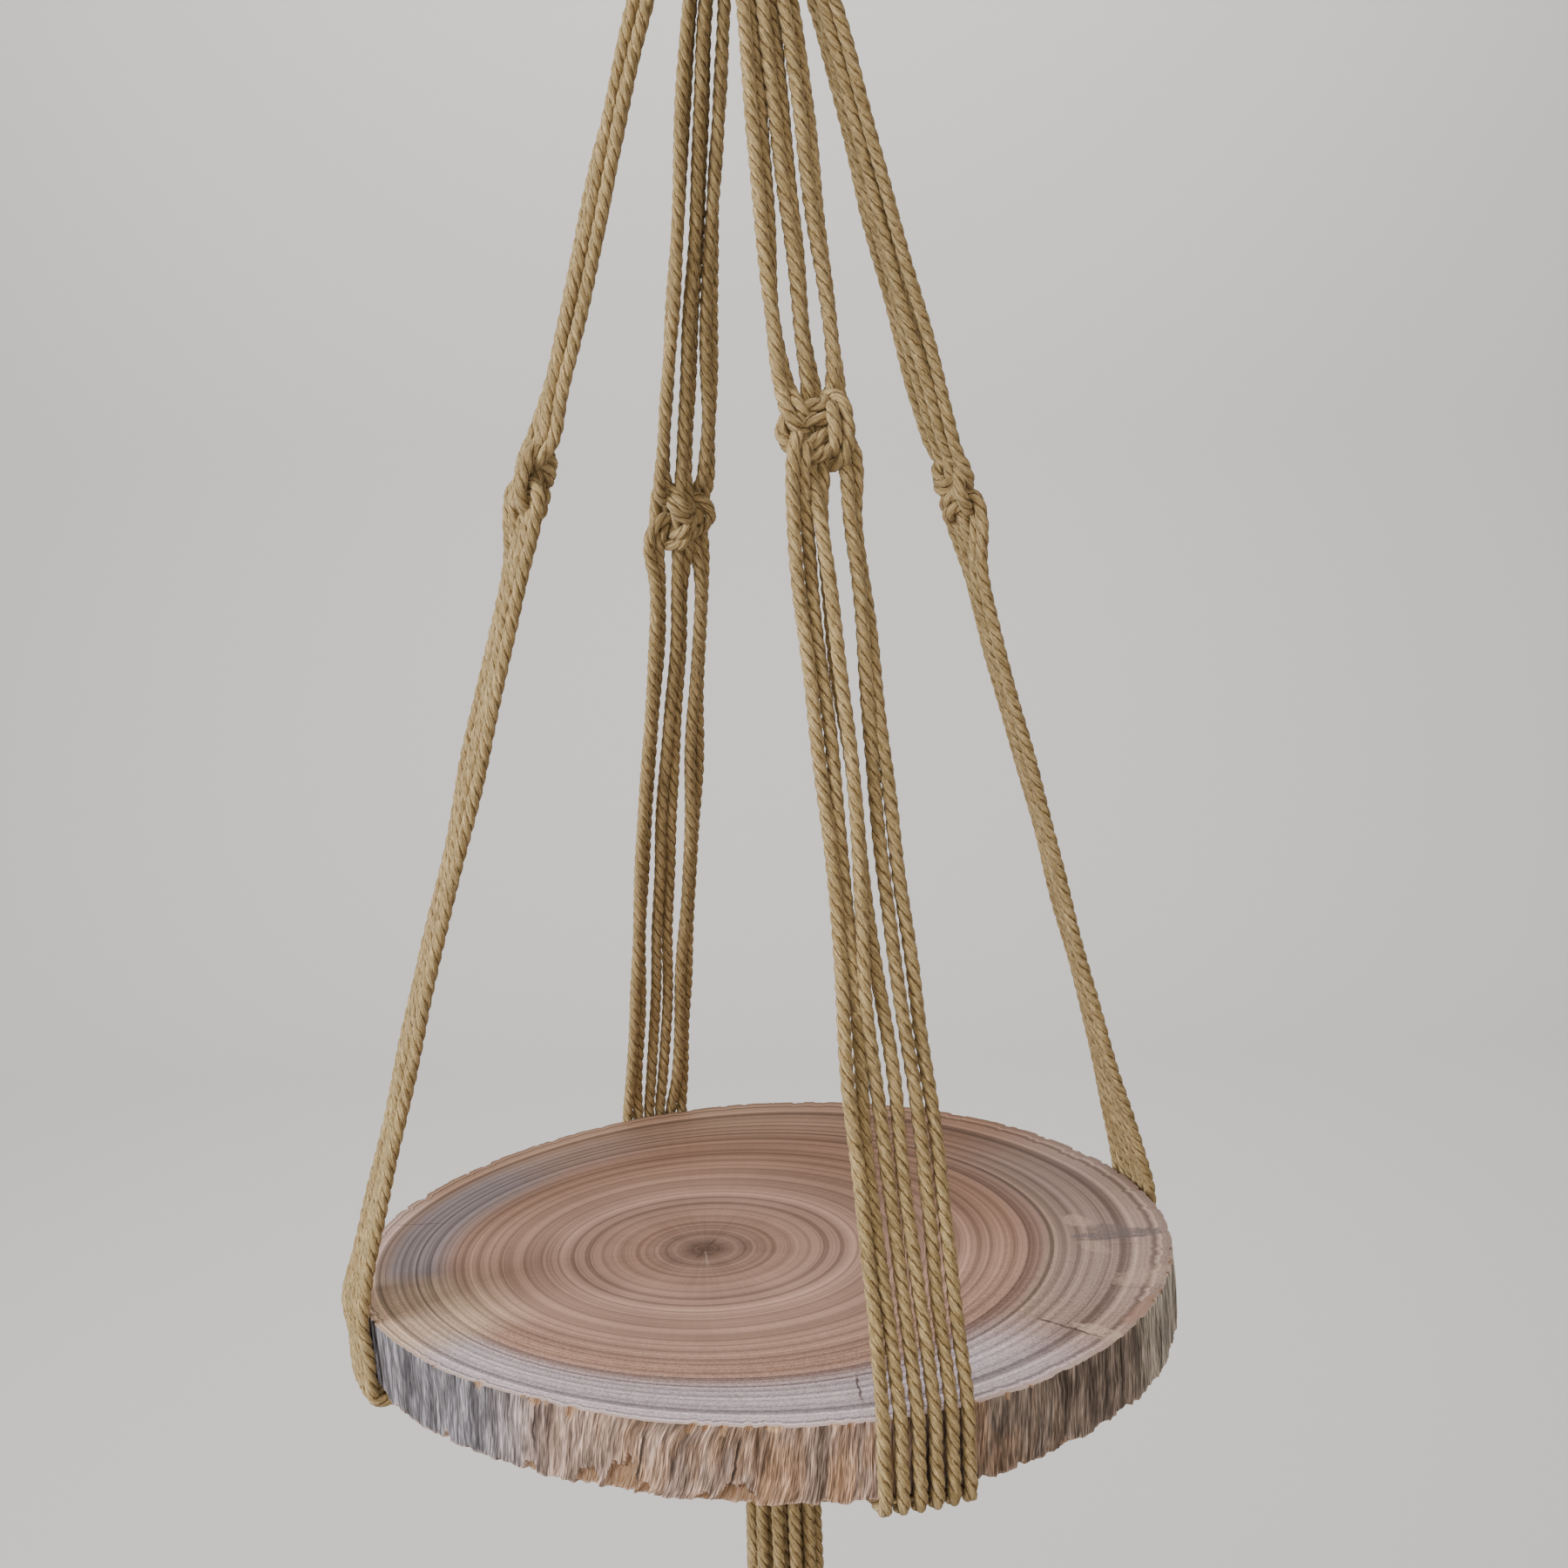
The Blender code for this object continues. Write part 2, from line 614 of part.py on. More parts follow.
def make_loop(group, material):
    """Twelve cords folded over together, as one rope with a lobe for each outer cord."""
    outline = bpy.data.curves.new("loop_section", "CURVE")
    outline.dimensions = "2D"
    ring = outline.splines.new("POLY")
    ring.use_cyclic_u = True
    count = LOOP_LOBES * 2
    ring.points.add(count - 1)
    for i, place in enumerate(ring.points):
        radius = LOOP_ROPE_RADIUS - (LOOP_GROOVE if i % 2 else 0.0)
        turn = 2 * math.pi * i / count
        place.co = (radius * math.cos(turn), radius * math.sin(turn), 0.0, 1.0)
    section = bpy.data.objects.new("loop_section", outline)
    bpy.context.scene.collection.objects.link(section)
    path = bpy.data.curves.new("hanging_loop", "CURVE")
    path.dimensions = "3D"
    path.bevel_mode = "OBJECT"
    path.bevel_object = section
    path.use_fill_caps = True
    spline = path.splines.new("POLY")
    rows = loop_line()
    spline.points.add(len(rows) - 1)
    for place, (x, z, scale) in zip(spline.points, rows):
        place.co = (x, 0.0, z, 1.0)
        place.radius = scale
    loop = curve_to_mesh(bpy.data.objects.new("loop_path", path), "hanging_loop")
    bpy.data.objects.remove(section, do_unlink=True)
    loop.data.materials.append(material)
    loop.data.shade_smooth()
    loop.data.set_sharp_from_angle(angle=math.radians(60))
    group.objects.link(loop)
    return loop


def make_tail(group, material):
    """The loose ends: strands that stand apart but for their roots, fused in a thin head."""
    top = BOTTOM_WRAP_BOTTOM - SEAT_GAP
    head_depth = 0.003
    mesh = bmesh.new()
    bmesh.ops.create_cone(
        mesh,
        cap_ends=True,
        cap_tris=False,
        segments=24,
        radius1=BUNDLE_RADIUS - 0.0005,
        radius2=BUNDLE_RADIUS - 0.0005,
        depth=head_depth,
    )
    bmesh.ops.translate(mesh, verts=mesh.verts, vec=(0.0, 0.0, top - head_depth / 2))
    data = bpy.data.meshes.new("tail_head")
    mesh.to_mesh(data)
    mesh.free()
    solids = [bpy.data.objects.new("tail_head", data)]
    for name, degrees, *_ in ARMS:
        for index, (ring, place, _) in enumerate(BUNDLE_UNDER):
            bearing = math.radians(degrees + place)
            sway = 0.0012 * math.sin(degrees + 2.1 * index)
            route = []
            for way, flare in ((0.0, 1.0), (0.5, 1.10), (1.0, 1.22)):
                radius = ring * flare
                side = sway * math.sin(math.pi * way)
                route.append((
                    radius * math.cos(bearing) - side * math.sin(bearing),
                    radius * math.sin(bearing) + side * math.cos(bearing),
                    top - head_depth / 2 + (TAIL_END - top + head_depth / 2) * way,
                ))
            solids.append(make_tube(f"end_{name}_{index}", route, STRAND_RADIUS * 0.93, 0))
    return unite("tail", solids, group, material)


clear_scene()
shelf = make_collection("macrame hanging shelf")
cotton = make_material("cotton cord", CORD_COLOUR, 0.9)
timber = make_material("live-edge wood", WOOD_COLOUR, 0.7)

make_loop(shelf, cotton)
make_wrap("top_wrap", TOP_WRAP_TOP, TOP_WRAP_TURNS, shelf, cotton)
for arm_row in ARMS:
    make_arm(*arm_row, shelf, cotton)
make_wood(shelf, timber)
make_wrap("bottom_wrap", BOTTOM_WRAP_TOP, BOTTOM_WRAP_TURNS, shelf, cotton)
make_tail(shelf, cotton)
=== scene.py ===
"""Macrame hanging shelf with a wood round: the finished look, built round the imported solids."""

import json
import math

import bpy
import numpy as np
from mathutils import Matrix, Vector

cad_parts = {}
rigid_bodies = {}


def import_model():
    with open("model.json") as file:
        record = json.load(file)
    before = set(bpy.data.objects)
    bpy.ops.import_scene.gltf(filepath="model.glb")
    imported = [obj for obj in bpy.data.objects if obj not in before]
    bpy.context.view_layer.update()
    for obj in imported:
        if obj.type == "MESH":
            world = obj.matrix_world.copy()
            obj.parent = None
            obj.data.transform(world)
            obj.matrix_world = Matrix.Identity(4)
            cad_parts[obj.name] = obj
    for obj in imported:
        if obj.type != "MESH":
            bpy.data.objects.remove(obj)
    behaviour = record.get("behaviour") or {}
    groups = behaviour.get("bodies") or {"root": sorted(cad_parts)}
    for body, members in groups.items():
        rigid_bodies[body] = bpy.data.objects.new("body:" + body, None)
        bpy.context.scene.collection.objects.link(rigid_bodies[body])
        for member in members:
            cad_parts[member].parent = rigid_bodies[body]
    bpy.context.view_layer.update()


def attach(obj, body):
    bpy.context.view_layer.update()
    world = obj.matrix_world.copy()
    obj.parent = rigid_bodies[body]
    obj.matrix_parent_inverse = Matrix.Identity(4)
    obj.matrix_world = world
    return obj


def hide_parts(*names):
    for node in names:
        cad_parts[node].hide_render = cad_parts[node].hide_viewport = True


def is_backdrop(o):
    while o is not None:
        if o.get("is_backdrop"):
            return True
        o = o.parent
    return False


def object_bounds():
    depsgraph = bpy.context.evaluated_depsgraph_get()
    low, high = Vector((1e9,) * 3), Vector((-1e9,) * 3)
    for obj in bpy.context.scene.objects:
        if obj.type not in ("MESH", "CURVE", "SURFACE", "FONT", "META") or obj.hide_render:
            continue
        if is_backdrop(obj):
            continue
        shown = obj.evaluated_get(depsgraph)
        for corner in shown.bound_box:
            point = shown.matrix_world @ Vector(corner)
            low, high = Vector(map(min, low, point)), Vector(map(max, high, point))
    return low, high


for thing in list(bpy.data.objects):
    bpy.data.objects.remove(thing, do_unlink=True)

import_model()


# The wood round
# A slice sawn across a small trunk, 28 mm thick, its flat faces sanded and its live edge left
# as it tore. It lies loose in the four arms and is held by nothing but their pull.

SHELF_TOP = -0.6451
WOOD_THICKNESS = 0.0275
SHELF_UNDERSIDE = SHELF_TOP - WOOD_THICKNESS
WOOD_RADIUS = 0.1533
FIBRE_RADIUS = 153.3
OUTLINE_LOBES = (
    # waves round the rim, share of the radius, bearing of a crest in degrees
    (1, 0.0145, 102.0),
    (2, 0.0090, 11.0),
    (3, 0.0160, 49.0),
    (4, 0.0075, -6.0),
)
RIM_SLANT = 0.0020
RIM_SLANT_BEARING = -32.0
FACE_INSET = 0.0008
DRAWN_AT_RELIEF = 0.9
DEEPEST_RELIEF = 2.6
PITH = np.array([-0.0270, 0.0033])
WOOD_COLUMNS = 1440
FACE_RINGS = np.array([
    0.03, 0.08, 0.16, 0.26, 0.36, 0.46, 0.56, 0.65, 0.72, 0.78,
    0.83, 0.87, 0.905, 0.935, 0.96, 0.978, 0.990, 0.997,
])
UNDER_RINGS = np.array([0.05, 0.30, 0.55, 0.75, 0.88, 0.94, 0.97, 0.985])
RIM_ROWS = np.array([
    1.0, 0.985, 0.965, 0.94, 0.905, 0.865, 0.82, 0.77, 0.72, 0.66, 0.60, 0.54,
    0.48, 0.42, 0.37, 0.32, 0.275, 0.235, 0.195, 0.155, 0.12, 0.085, 0.055, 0.025, 0.0,
])
CHIPS = (
    # splits off the lower edge: bearing and half width in degrees, height in millimetres
    (203.0, 0.8, 3.0),
    (218.0, 1.0, 5.0),
    (227.3, 1.9, 7.0),
    (232.0, 2.4, 11.5),
    (235.6, 0.9, 4.5),
    (243.6, 1.0, 3.8),
    (247.2, 2.0, 7.0),
    (249.6, 0.7, 3.0),
    (292.0, 1.4, 3.0),
    (38.0, 1.8, 5.0),
    (71.0, 1.2, 4.0),
    (120.0, 2.2, 6.0),
)
NOTCHES = (
    # splinters out of the upper edge: bearing and half width in degrees, depth in millimetres
    (209.5, 0.7, 2.0),
    (218.5, 1.0, 2.2),
    (223.9, 0.6, 4.4),
    (239.4, 0.55, 3.2),
    (241.4, 0.45, 2.6),
    (243.8, 0.5, 3.6),
    (260.5, 0.4, 1.8),
    (281.5, 0.5, 2.2),
    (16.0, 0.8, 3.0),
    (63.0, 0.6, 2.5),
    (140.0, 0.7, 3.2),
)


def wood_radius(bearing, share):
    """Rim radius: the mean radius times one plus a cosine for each lobe, and the slant of the
    wall, which grows from the top edge (share 1) to the lower edge (share 0)."""
    lobes = sum(
        swing * np.cos(waves * (bearing - np.radians(crest)))
        for waves, swing, crest in OUTLINE_LOBES
    )
    slant = RIM_SLANT * np.cos(bearing - np.radians(RIM_SLANT_BEARING))
    return WOOD_RADIUS * (1 + lobes) + slant * (1 - share)


def ripple(turns, rises, cells, rows, seed):
    """Random heights from 0 to 1 on a net of cells round the rim and rows up it, which closes on
    itself, with an eased blend (3t^2 - 2t^3) between the net's four nearest corners."""
    net = np.random.default_rng(seed).random((cells, rows + 2))
    across = (turns % 1.0) * cells
    up = np.clip(rises, 0.0, 1.0) * rows
    left = np.floor(across).astype(int)
    below = np.floor(up).astype(int)
    ease_across = (across - left) ** 2 * (3 - 2 * (across - left))
    ease_up = (up - below) ** 2 * (3 - 2 * (up - below))
    left, right = left % cells, (left + 1) % cells
    low = net[left, below] * (1 - ease_across) + net[right, below] * ease_across
    high = net[left, below + 1] * (1 - ease_across) + net[right, below + 1] * ease_across
    return low * (1 - ease_up) + high * ease_up


def step_between(low, high, values):
    """0 below low, 1 above high, and an eased rise between them."""
    way = np.clip((values - low) / (high - low), 0.0, 1.0)
    return way * way * (3 - 2 * way)


def hump(degrees_round, bearing, half_width):
    """1 at a bearing, falling off as exp(-(d / half width)^2) with the angle d to either side."""
    return np.exp(-(((degrees_round - bearing + 180) % 360 - 180) / half_width) ** 2)


def broken_height(degrees_round, table):
    """The tallest bite of a table at each bearing: its height times 1 - (d / half width)^4."""
    tallest = np.zeros_like(degrees_round)
    for bearing, half_width, height in table:
        aside = ((degrees_round - bearing + 180) % 360 - 180) / half_width
        tallest = np.maximum(tallest, height * np.clip(1 - aside**4, 0, 1))
    return tallest


def face_points(rings, rim, level):
    """Growth rings of a sawn face: each point lies on the line from the pith to its rim point.
    Its distance is the share of the way out, times the rim's distance near the rim and times
    the mean distance near the pith, so the rings are round inside and follow the bark outside.
    The outermost few move in or out with the torn rim; the rest keep to a smooth outline."""
    radius = wood_radius(bearings, level) - FACE_INSET
    smooth = np.stack([radius * np.cos(bearings), radius * np.sin(bearings)], axis=1)
    reach = smooth - PITH
    distance = np.linalg.norm(reach, axis=1)
    shares = rings[:, None]
    out = shares * (distance * shares**2 + distance.mean() * (1 - shares**2))
    torn_off = (rim - smooth)[None] * step_between(0.93, 1.0, shares)[:, :, None]
    return PITH + (reach / distance[:, None])[None] * out[:, :, None] + torn_off


# The rim: fibres that lean where the grain is crooked, and millimetres of depth in from the bark
turns = np.arange(WOOD_COLUMNS) / WOOD_COLUMNS
bearings = 2 * np.pi * turns
degrees_round = np.degrees(bearings)
rim_share = np.repeat(RIM_ROWS[:, None], WOOD_COLUMNS, axis=1)
height_up = rim_share * WOOD_THICKNESS * 1000
straight_turns = turns[None] + 0 * rim_share
lean = 0.7 + 2.9 * hump(degrees_round, 240.0, 14.0) + 1.2 * hump(degrees_round, 60.0, 30.0)
bow = 0.45 * hump(degrees_round, 238.0, 10.0) * np.sin(np.pi * rim_share * 2)
fibre_turns = straight_turns - (lean[None] * (rim_share - 0.5) + bow) / 360.0
fibre_turns += 0.0009 * (ripple(straight_turns, rim_share, 60, 3, 5) - 0.5)
fibre_degrees = fibre_turns * 360.0
relief = 0.40 * ripple(fibre_turns, rim_share, 700, 2, 11)
relief += 0.50 * ripple(fibre_turns, rim_share, 330, 2, 12)
relief += 0.70 * ripple(fibre_turns, rim_share, 80, 2, 13)
relief += 0.90 * step_between(0.82, 0.97, ripple(fibre_turns, rim_share, 240, 1, 14))
uneven = 0.80 + 0.35 * ripple(fibre_turns, 0 * rim_share, 520, 1, 15)
chip_top = broken_height(fibre_degrees, CHIPS) * uneven
chip_top += 1.6 * step_between(0.62, 0.95, ripple(fibre_turns, 0 * rim_share, 260, 1, 16))
chipped = step_between(-0.25, 0.25, chip_top - height_up - 0.3)
lip = np.exp(-((chip_top - height_up + 0.7) / 0.7) ** 2) * step_between(1.0, 2.5, chip_top)
relief += chipped * (1.5 + 1.0 * ripple(fibre_turns, rim_share, 420, 1, 17))
notch_depth = broken_height(fibre_degrees, NOTCHES)
notch_depth += 1.4 * step_between(0.72, 0.95, ripple(straight_turns, 0 * rim_share, 300, 1, 18))
below_top = WOOD_THICKNESS * 1000 - height_up
notched = step_between(-0.2, 0.3, notch_depth - below_top - 0.2)
relief += notched * 1.1
rim_radius = wood_radius(bearings[None], rim_share) + (DRAWN_AT_RELIEF - relief) / 1000
ragged = ripple(turns, 0 * turns, 430, 1, 20) - 0.45
ragged += 0.9 * ripple(turns, 0 * turns, 130, 1, 21)
ragged += 1.3 * step_between(0.70, 0.95, ripple(turns, 0 * turns, 200, 1, 22))
rim_height = SHELF_UNDERSIDE + rim_share * WOOD_THICKNESS
rim_height += ragged[None] / 1000 * step_between(0.13, 0.0, rim_share)
rim_points = np.stack([
    rim_radius * np.cos(bearings), rim_radius * np.sin(bearings), rim_height,
], axis=2)

# One skin from the pith of the top face, over the rim, to the pith of the underside
top_rings = face_points(FACE_RINGS, rim_points[0, :, :2], 1.0)
under_rings = face_points(UNDER_RINGS, rim_points[-1, :, :2], 0.0)
pith_bearings = np.arctan2(*(top_rings[-1] - PITH).T[::-1])
top_points = np.dstack([top_rings, np.full(top_rings.shape[:2], SHELF_TOP)])
under_points = np.dstack([under_rings, np.full(under_rings.shape[:2], SHELF_UNDERSIDE)])
skin = np.concatenate([top_points, rim_points, under_points[::-1]])
growth_shares = np.concatenate([FACE_RINGS, np.ones(len(RIM_ROWS)), UNDER_RINGS[::-1]])
growth = np.stack([
    np.repeat(growth_shares[:, None], WOOD_COLUMNS, axis=1),
    np.cos(pith_bearings)[None] + 0 * growth_shares[:, None],
    np.sin(pith_bearings)[None] + 0 * growth_shares[:, None],
], axis=2)
no_face = np.zeros((len(FACE_RINGS), WOOD_COLUMNS))
no_under = np.zeros((len(UNDER_RINGS), WOOD_COLUMNS))
torn = np.concatenate([no_face, np.maximum(chipped, notched), no_under])
lip = np.concatenate([no_face, lip, no_under])
depth = np.concatenate([no_face, np.clip(relief / DEEPEST_RELIEF, 0, 1), no_under])
fibre = np.stack([
    FIBRE_RADIUS * np.cos(np.radians(fibre_degrees)),
    FIBRE_RADIUS * np.sin(np.radians(fibre_degrees)),
    height_up,
], axis=2)
fibre = np.concatenate([
    np.repeat(fibre[:1], len(FACE_RINGS), axis=0),
    fibre,
    np.repeat(fibre[-1:], len(UNDER_RINGS), axis=0),
])


def grid_faces(rows, columns):
    """Faces of a net of rows and columns that closes on itself sideways: each joins a point to
    the next in its row and to the pair below, turned to look outwards."""
    corner = np.arange(rows - 1)[:, None] * columns + np.arange(columns)[None]
    beside = np.arange(rows - 1)[:, None] * columns + (np.arange(columns)[None] + 1) % columns
    return np.stack([corner, corner + columns, beside + columns, beside], axis=2).reshape(-1, 4)


def set_attribute(data, name, values):
    """Stores one number or one vector for each of a mesh's points."""
    vectors = values.ndim > 1
    attribute = data.attributes.new(name, "FLOAT_VECTOR" if vectors else "FLOAT", "POINT")
    attribute.data.foreach_set("vector" if vectors else "value", values.astype(np.float32).ravel())


rows = len(skin)
wood_points = np.vstack([skin.reshape(-1, 3), [[*PITH, SHELF_TOP], [*PITH, SHELF_UNDERSIDE]]])
columns = np.arange(WOOD_COLUMNS)
next_column = (columns + 1) % WOOD_COLUMNS
top_fan = np.stack([np.full_like(columns, rows * WOOD_COLUMNS), columns, next_column], axis=1)
last_row = (rows - 1) * WOOD_COLUMNS
under_fan = np.stack([
    np.full_like(columns, rows * WOOD_COLUMNS + 1), last_row + next_column, last_row + columns,
], axis=1)
wood_faces = grid_faces(rows, WOOD_COLUMNS).tolist() + top_fan.tolist() + under_fan.tolist()
wood_data = bpy.data.meshes.new("wood_round_finish")
wood_data.from_pydata(wood_points, [], wood_faces)
set_attribute(wood_data, "growth", np.vstack([growth.reshape(-1, 3), [[0, 1, 0], [0, 1, 0]]]))
set_attribute(wood_data, "fibre", np.vstack([fibre.reshape(-1, 3), [[0, 0, 0], [0, 0, 0]]]))
for name, values in (("torn", torn), ("lip", lip), ("depth", depth)):
    set_attribute(wood_data, name, np.append(values.ravel(), [0, 0]))


def add_node(tree, kind, sockets, **settings):
    """A shader node. Each input named or numbered in sockets gets a number, a colour, or the
    output of another node."""
    node = tree.nodes.new("ShaderNode" + kind)
    for name, value in settings.items():
        setattr(node, name, value)
    for name, value in sockets.items():
        if isinstance(value, bpy.types.NodeSocket):
            tree.links.new(value, node.inputs[name])
        else:
            node.inputs[name].default_value = value
    return node


def blend_colours(tree, share, first, second):
    """The colour a share of the way from the first to the second."""
    return add_node(tree, "Mix", {0: share, 6: first, 7: second}, data_type="RGBA").outputs[2]


def calculate(tree, operation, *values):
    """One step of arithmetic on numbers or sockets, such as ADD, MULTIPLY or ABSOLUTE."""
    return add_node(tree, "Math", dict(enumerate(values)), operation=operation).outputs[0]


def product(tree, *values):
    """All the values multiplied together."""
    total = values[0]
    for value in values[1:]:
        total = calculate(tree, "MULTIPLY", total, value)
    return total


def map_range(tree, value, low, high, to_low=0.0, to_high=1.0):
    """An eased rise from to_low at the value low to to_high at the value high, held beyond."""
    sockets = {"Value": value, "From Min": low, "From Max": high, "To Min": to_low, "To Max": to_high}
    return add_node(tree, "MapRange", sockets, interpolation_type="SMOOTHSTEP").outputs[0]


def stretch(tree, vector, scale, shift=(0, 0, 0)):
    """A vector times scale plus shift, part by part."""
    moved = add_node(tree, "VectorMath", {0: vector, 1: scale}, operation="MULTIPLY").outputs[0]
    return add_node(tree, "VectorMath", {0: moved, 1: shift}, operation="ADD").outputs[0]


def noise(tree, vector, scale, detail=2.0, rough=0.5):
    """Cloudy random values round 0.5, with cells of one over scale."""
    sockets = {"Vector": vector, "Scale": scale, "Detail": detail, "Roughness": rough}
    return add_node(tree, "TexNoise", sockets).outputs[0]


def tremble(tree, vector, scale, detail, reach):
    """Noise to either side of zero: the noise less a half, times its reach."""
    around_zero = calculate(tree, "SUBTRACT", noise(tree, vector, scale, detail), 0.5)
    return calculate(tree, "MULTIPLY", around_zero, reach)


def dot(tree, vector, direction):
    """The vector's part along a direction, times that direction's length."""
    both = {0: vector, 1: direction}
    return add_node(tree, "VectorMath", both, operation="DOT_PRODUCT").outputs["Value"]


def scaled(tree, colour, factor):
    """A colour times one number."""
    return add_node(tree, "VectorMath", {0: colour, "Scale": factor}, operation="SCALE").outputs[0]


def new_material(name, roughness):
    """A material with its node tree and its shader, matt but for a trace of shine."""
    material = bpy.data.materials.new(name)
    material.use_nodes = True
    shader = material.node_tree.nodes["Principled BSDF"]
    shader.inputs["Roughness"].default_value = roughness
    shader.inputs["Specular IOR Level"].default_value = 0.15
    return material, material.node_tree, shader


def shared_effect(name, inputs, outputs):
    """An empty node group for an effect that more than one finish uses, with the sockets of its
    named inputs and outputs, each a Float or a Vector."""
    group = bpy.data.node_groups.new(name, "ShaderNodeTree")
    for way, sockets in (("INPUT", inputs), ("OUTPUT", outputs)):
        for label, kind in sockets.items():
            group.interface.new_socket(label, in_out=way, socket_type="NodeSocket" + kind)
    return group, group.nodes.new("NodeGroupInput").outputs, group.nodes.new("NodeGroupOutput").inputs


# Streaks, for grain, fibres and yarn: noise on stretched places, and an eased shade made from it
streak_group, given, result = shared_effect(
    "streaks",
    {
        "Place": "Vector", "Stretch": "Vector", "Shift": "Vector", "Scale": "Float",
        "Detail": "Float", "Roughness": "Float",
        "Low": "Float", "High": "Float", "At Low": "Float", "At High": "Float",
    },
    {"Noise": "Float", "Shade": "Float"},
)
streak_place = stretch(streak_group, given["Place"], given["Stretch"], given["Shift"])
streak_noise = noise(streak_group, streak_place, given["Scale"], given["Detail"], given["Roughness"])
streak_shade = map_range(
    streak_group, streak_noise, given["Low"], given["High"], given["At Low"], given["At High"],
)
streak_group.links.new(streak_noise, result["Noise"])
streak_group.links.new(streak_shade, result["Shade"])

# The fade of a tint round a bearing: eased from the cosine at its far end to that at its near end
fade_group, given, result = shared_effect(
    "fade from a bearing",
    {"Direction": "Vector", "Bearing": "Vector", "Far": "Float", "Near": "Float"},
    {"Share": "Float"},
)
fade_nearness = dot(fade_group, given["Direction"], given["Bearing"])
fade_share = map_range(fade_group, fade_nearness, given["Far"], given["Near"])
fade_group.links.new(fade_share, result["Share"])


def streaks(tree, place, drawn_out, limits, detail=2.0, rough=0.5, scale=1.0, shift=(0, 0, 0)):
    """The streak group's noise and shade. The shade eases between the last two limits while the
    noise goes from the first limit to the second."""
    sockets = {"Place": place, "Stretch": drawn_out, "Shift": shift, "Scale": scale}
    sockets |= {"Detail": detail, "Roughness": rough}
    sockets |= dict(zip(("Low", "High", "At Low", "At High"), limits))
    node = add_node(tree, "Group", sockets, node_tree=streak_group)
    return node.outputs["Noise"], node.outputs["Shade"]


def near_bearing(tree, direction, degrees, inner, outer, first_axis=1, length=1.0):
    """1 within the inner angle of a bearing and 0 beyond the outer one, from the cosine of the
    angle between. The direction holds its cosine part on first_axis and its sine part next."""
    way = [0.0, 0.0, 0.0]
    way[first_axis] = math.cos(math.radians(degrees)) / length
    way[first_axis + 1] = math.sin(math.radians(degrees)) / length
    sockets = {"Direction": direction, "Bearing": way}
    sockets |= {"Far": math.cos(math.radians(outer)), "Near": math.cos(math.radians(inner))}
    return add_node(tree, "Group", sockets, node_tree=fade_group).outputs["Share"]


def rings_of(tree, share, count, detail):
    """Random values that change only on the way out from the pith, so they make whole rings."""
    sockets = {"W": share, "Scale": count, "Detail": detail, "Roughness": 0.55}
    return add_node(tree, "TexNoise", sockets, noise_dimensions="1D").outputs[0]


def scratch(tree, place, start, end, half_width, shake):
    """1 on a thin line between two points of the face in millimetres: within half_width of it
    sideways, after a small shake, and between its ends, where it fades."""
    start, end = np.array(start) / 1000, np.array(end) / 1000
    length = float(np.linalg.norm(end - start))
    ahead = (end - start) / length
    from_start = stretch(tree, place, (1.0, 1.0, 0.0), (-start[0], -start[1], 0.0))
    along = dot(tree, from_start, (ahead[0], ahead[1], 0.0))
    aside = calculate(tree, "ADD", dot(tree, from_start, (-ahead[1], ahead[0], 0.0)), shake)
    line = map_range(tree, calculate(tree, "ABSOLUTE", aside), half_width / 1000, half_width / 4000)
    begun = map_range(tree, along, -0.0004, length * 0.12)
    ended = map_range(tree, along, length * 1.05, length * 0.6)
    return product(tree, line, begun, ended)


def blotch(tree, place, centre, heading, half_long, half_wide, torn_by):
    """1 inside a ragged oval on the face, 0 outside: the distance from its centre in half lengths
    and half widths, plus noise, against a limit. Centre and sizes in millimetres, heading in
    degrees."""
    ahead, aside = math.cos(math.radians(heading)), math.sin(math.radians(heading))
    centred = stretch(tree, place, (1.0, 1.0, 0.0), (-centre[0] / 1000, -centre[1] / 1000, 0.0))
    along = dot(tree, centred, (ahead * 1000 / half_long, aside * 1000 / half_long, 0.0))
    across = dot(tree, centred, (-aside * 1000 / half_wide, ahead * 1000 / half_wide, 0.0))
    flat = add_node(tree, "CombineXYZ", {0: along, 1: across}).outputs[0]
    away = add_node(tree, "VectorMath", {0: flat}, operation="LENGTH").outputs["Value"]
    ragged = calculate(tree, "MULTIPLY_ADD", torn_by, 1.6, away)
    return map_range(tree, ragged, 2.00, 1.65)


# Sanded end grain: rings about the pith, warm heartwood, a reddish ring, pale sapwood, a painted
# shadow band at the rear left and a painted lilac reflection at the front left
end_grain, tree, shader = new_material("end grain of the round", 0.75)
place = add_node(tree, "TexCoord", {}).outputs["Object"]
rings = add_node(tree, "Attribute", {}, attribute_name="growth").outputs["Vector"]
share = add_node(tree, "SeparateXYZ", {0: rings}).outputs[0]
grown = calculate(tree, "ADD", share, tremble(tree, place, 10.0, 1.0, 0.016))
broad = rings_of(tree, grown, 15.0, 1.0)
middle = rings_of(tree, grown, 46.0, 1.5)
fine = rings_of(tree, grown, 130.0, 2.0)
ramp = add_node(tree, "ValToRGB", {0: grown})
ramp.color_ramp.elements[0].color = (0.170, 0.100, 0.072, 1)
ramp.color_ramp.elements[1].color = (0.370, 0.235, 0.172, 1)
for stop, tint in (
    # share of the way from the pith to the bark, colour
    (0.045, (0.225, 0.138, 0.102, 1)),
    (0.09, (0.300, 0.185, 0.140, 1)),
    (0.16, (0.320, 0.188, 0.138, 1)),
    (0.32, (0.370, 0.226, 0.170, 1)),
    (0.62, (0.395, 0.235, 0.172, 1)),
    (0.735, (0.355, 0.205, 0.148, 1)),
    (0.762, (0.250, 0.140, 0.102, 1)),
    (0.79, (0.365, 0.230, 0.172, 1)),
):
    ramp.color_ramp.elements.new(stop).color = tint
colour = ramp.outputs[0]
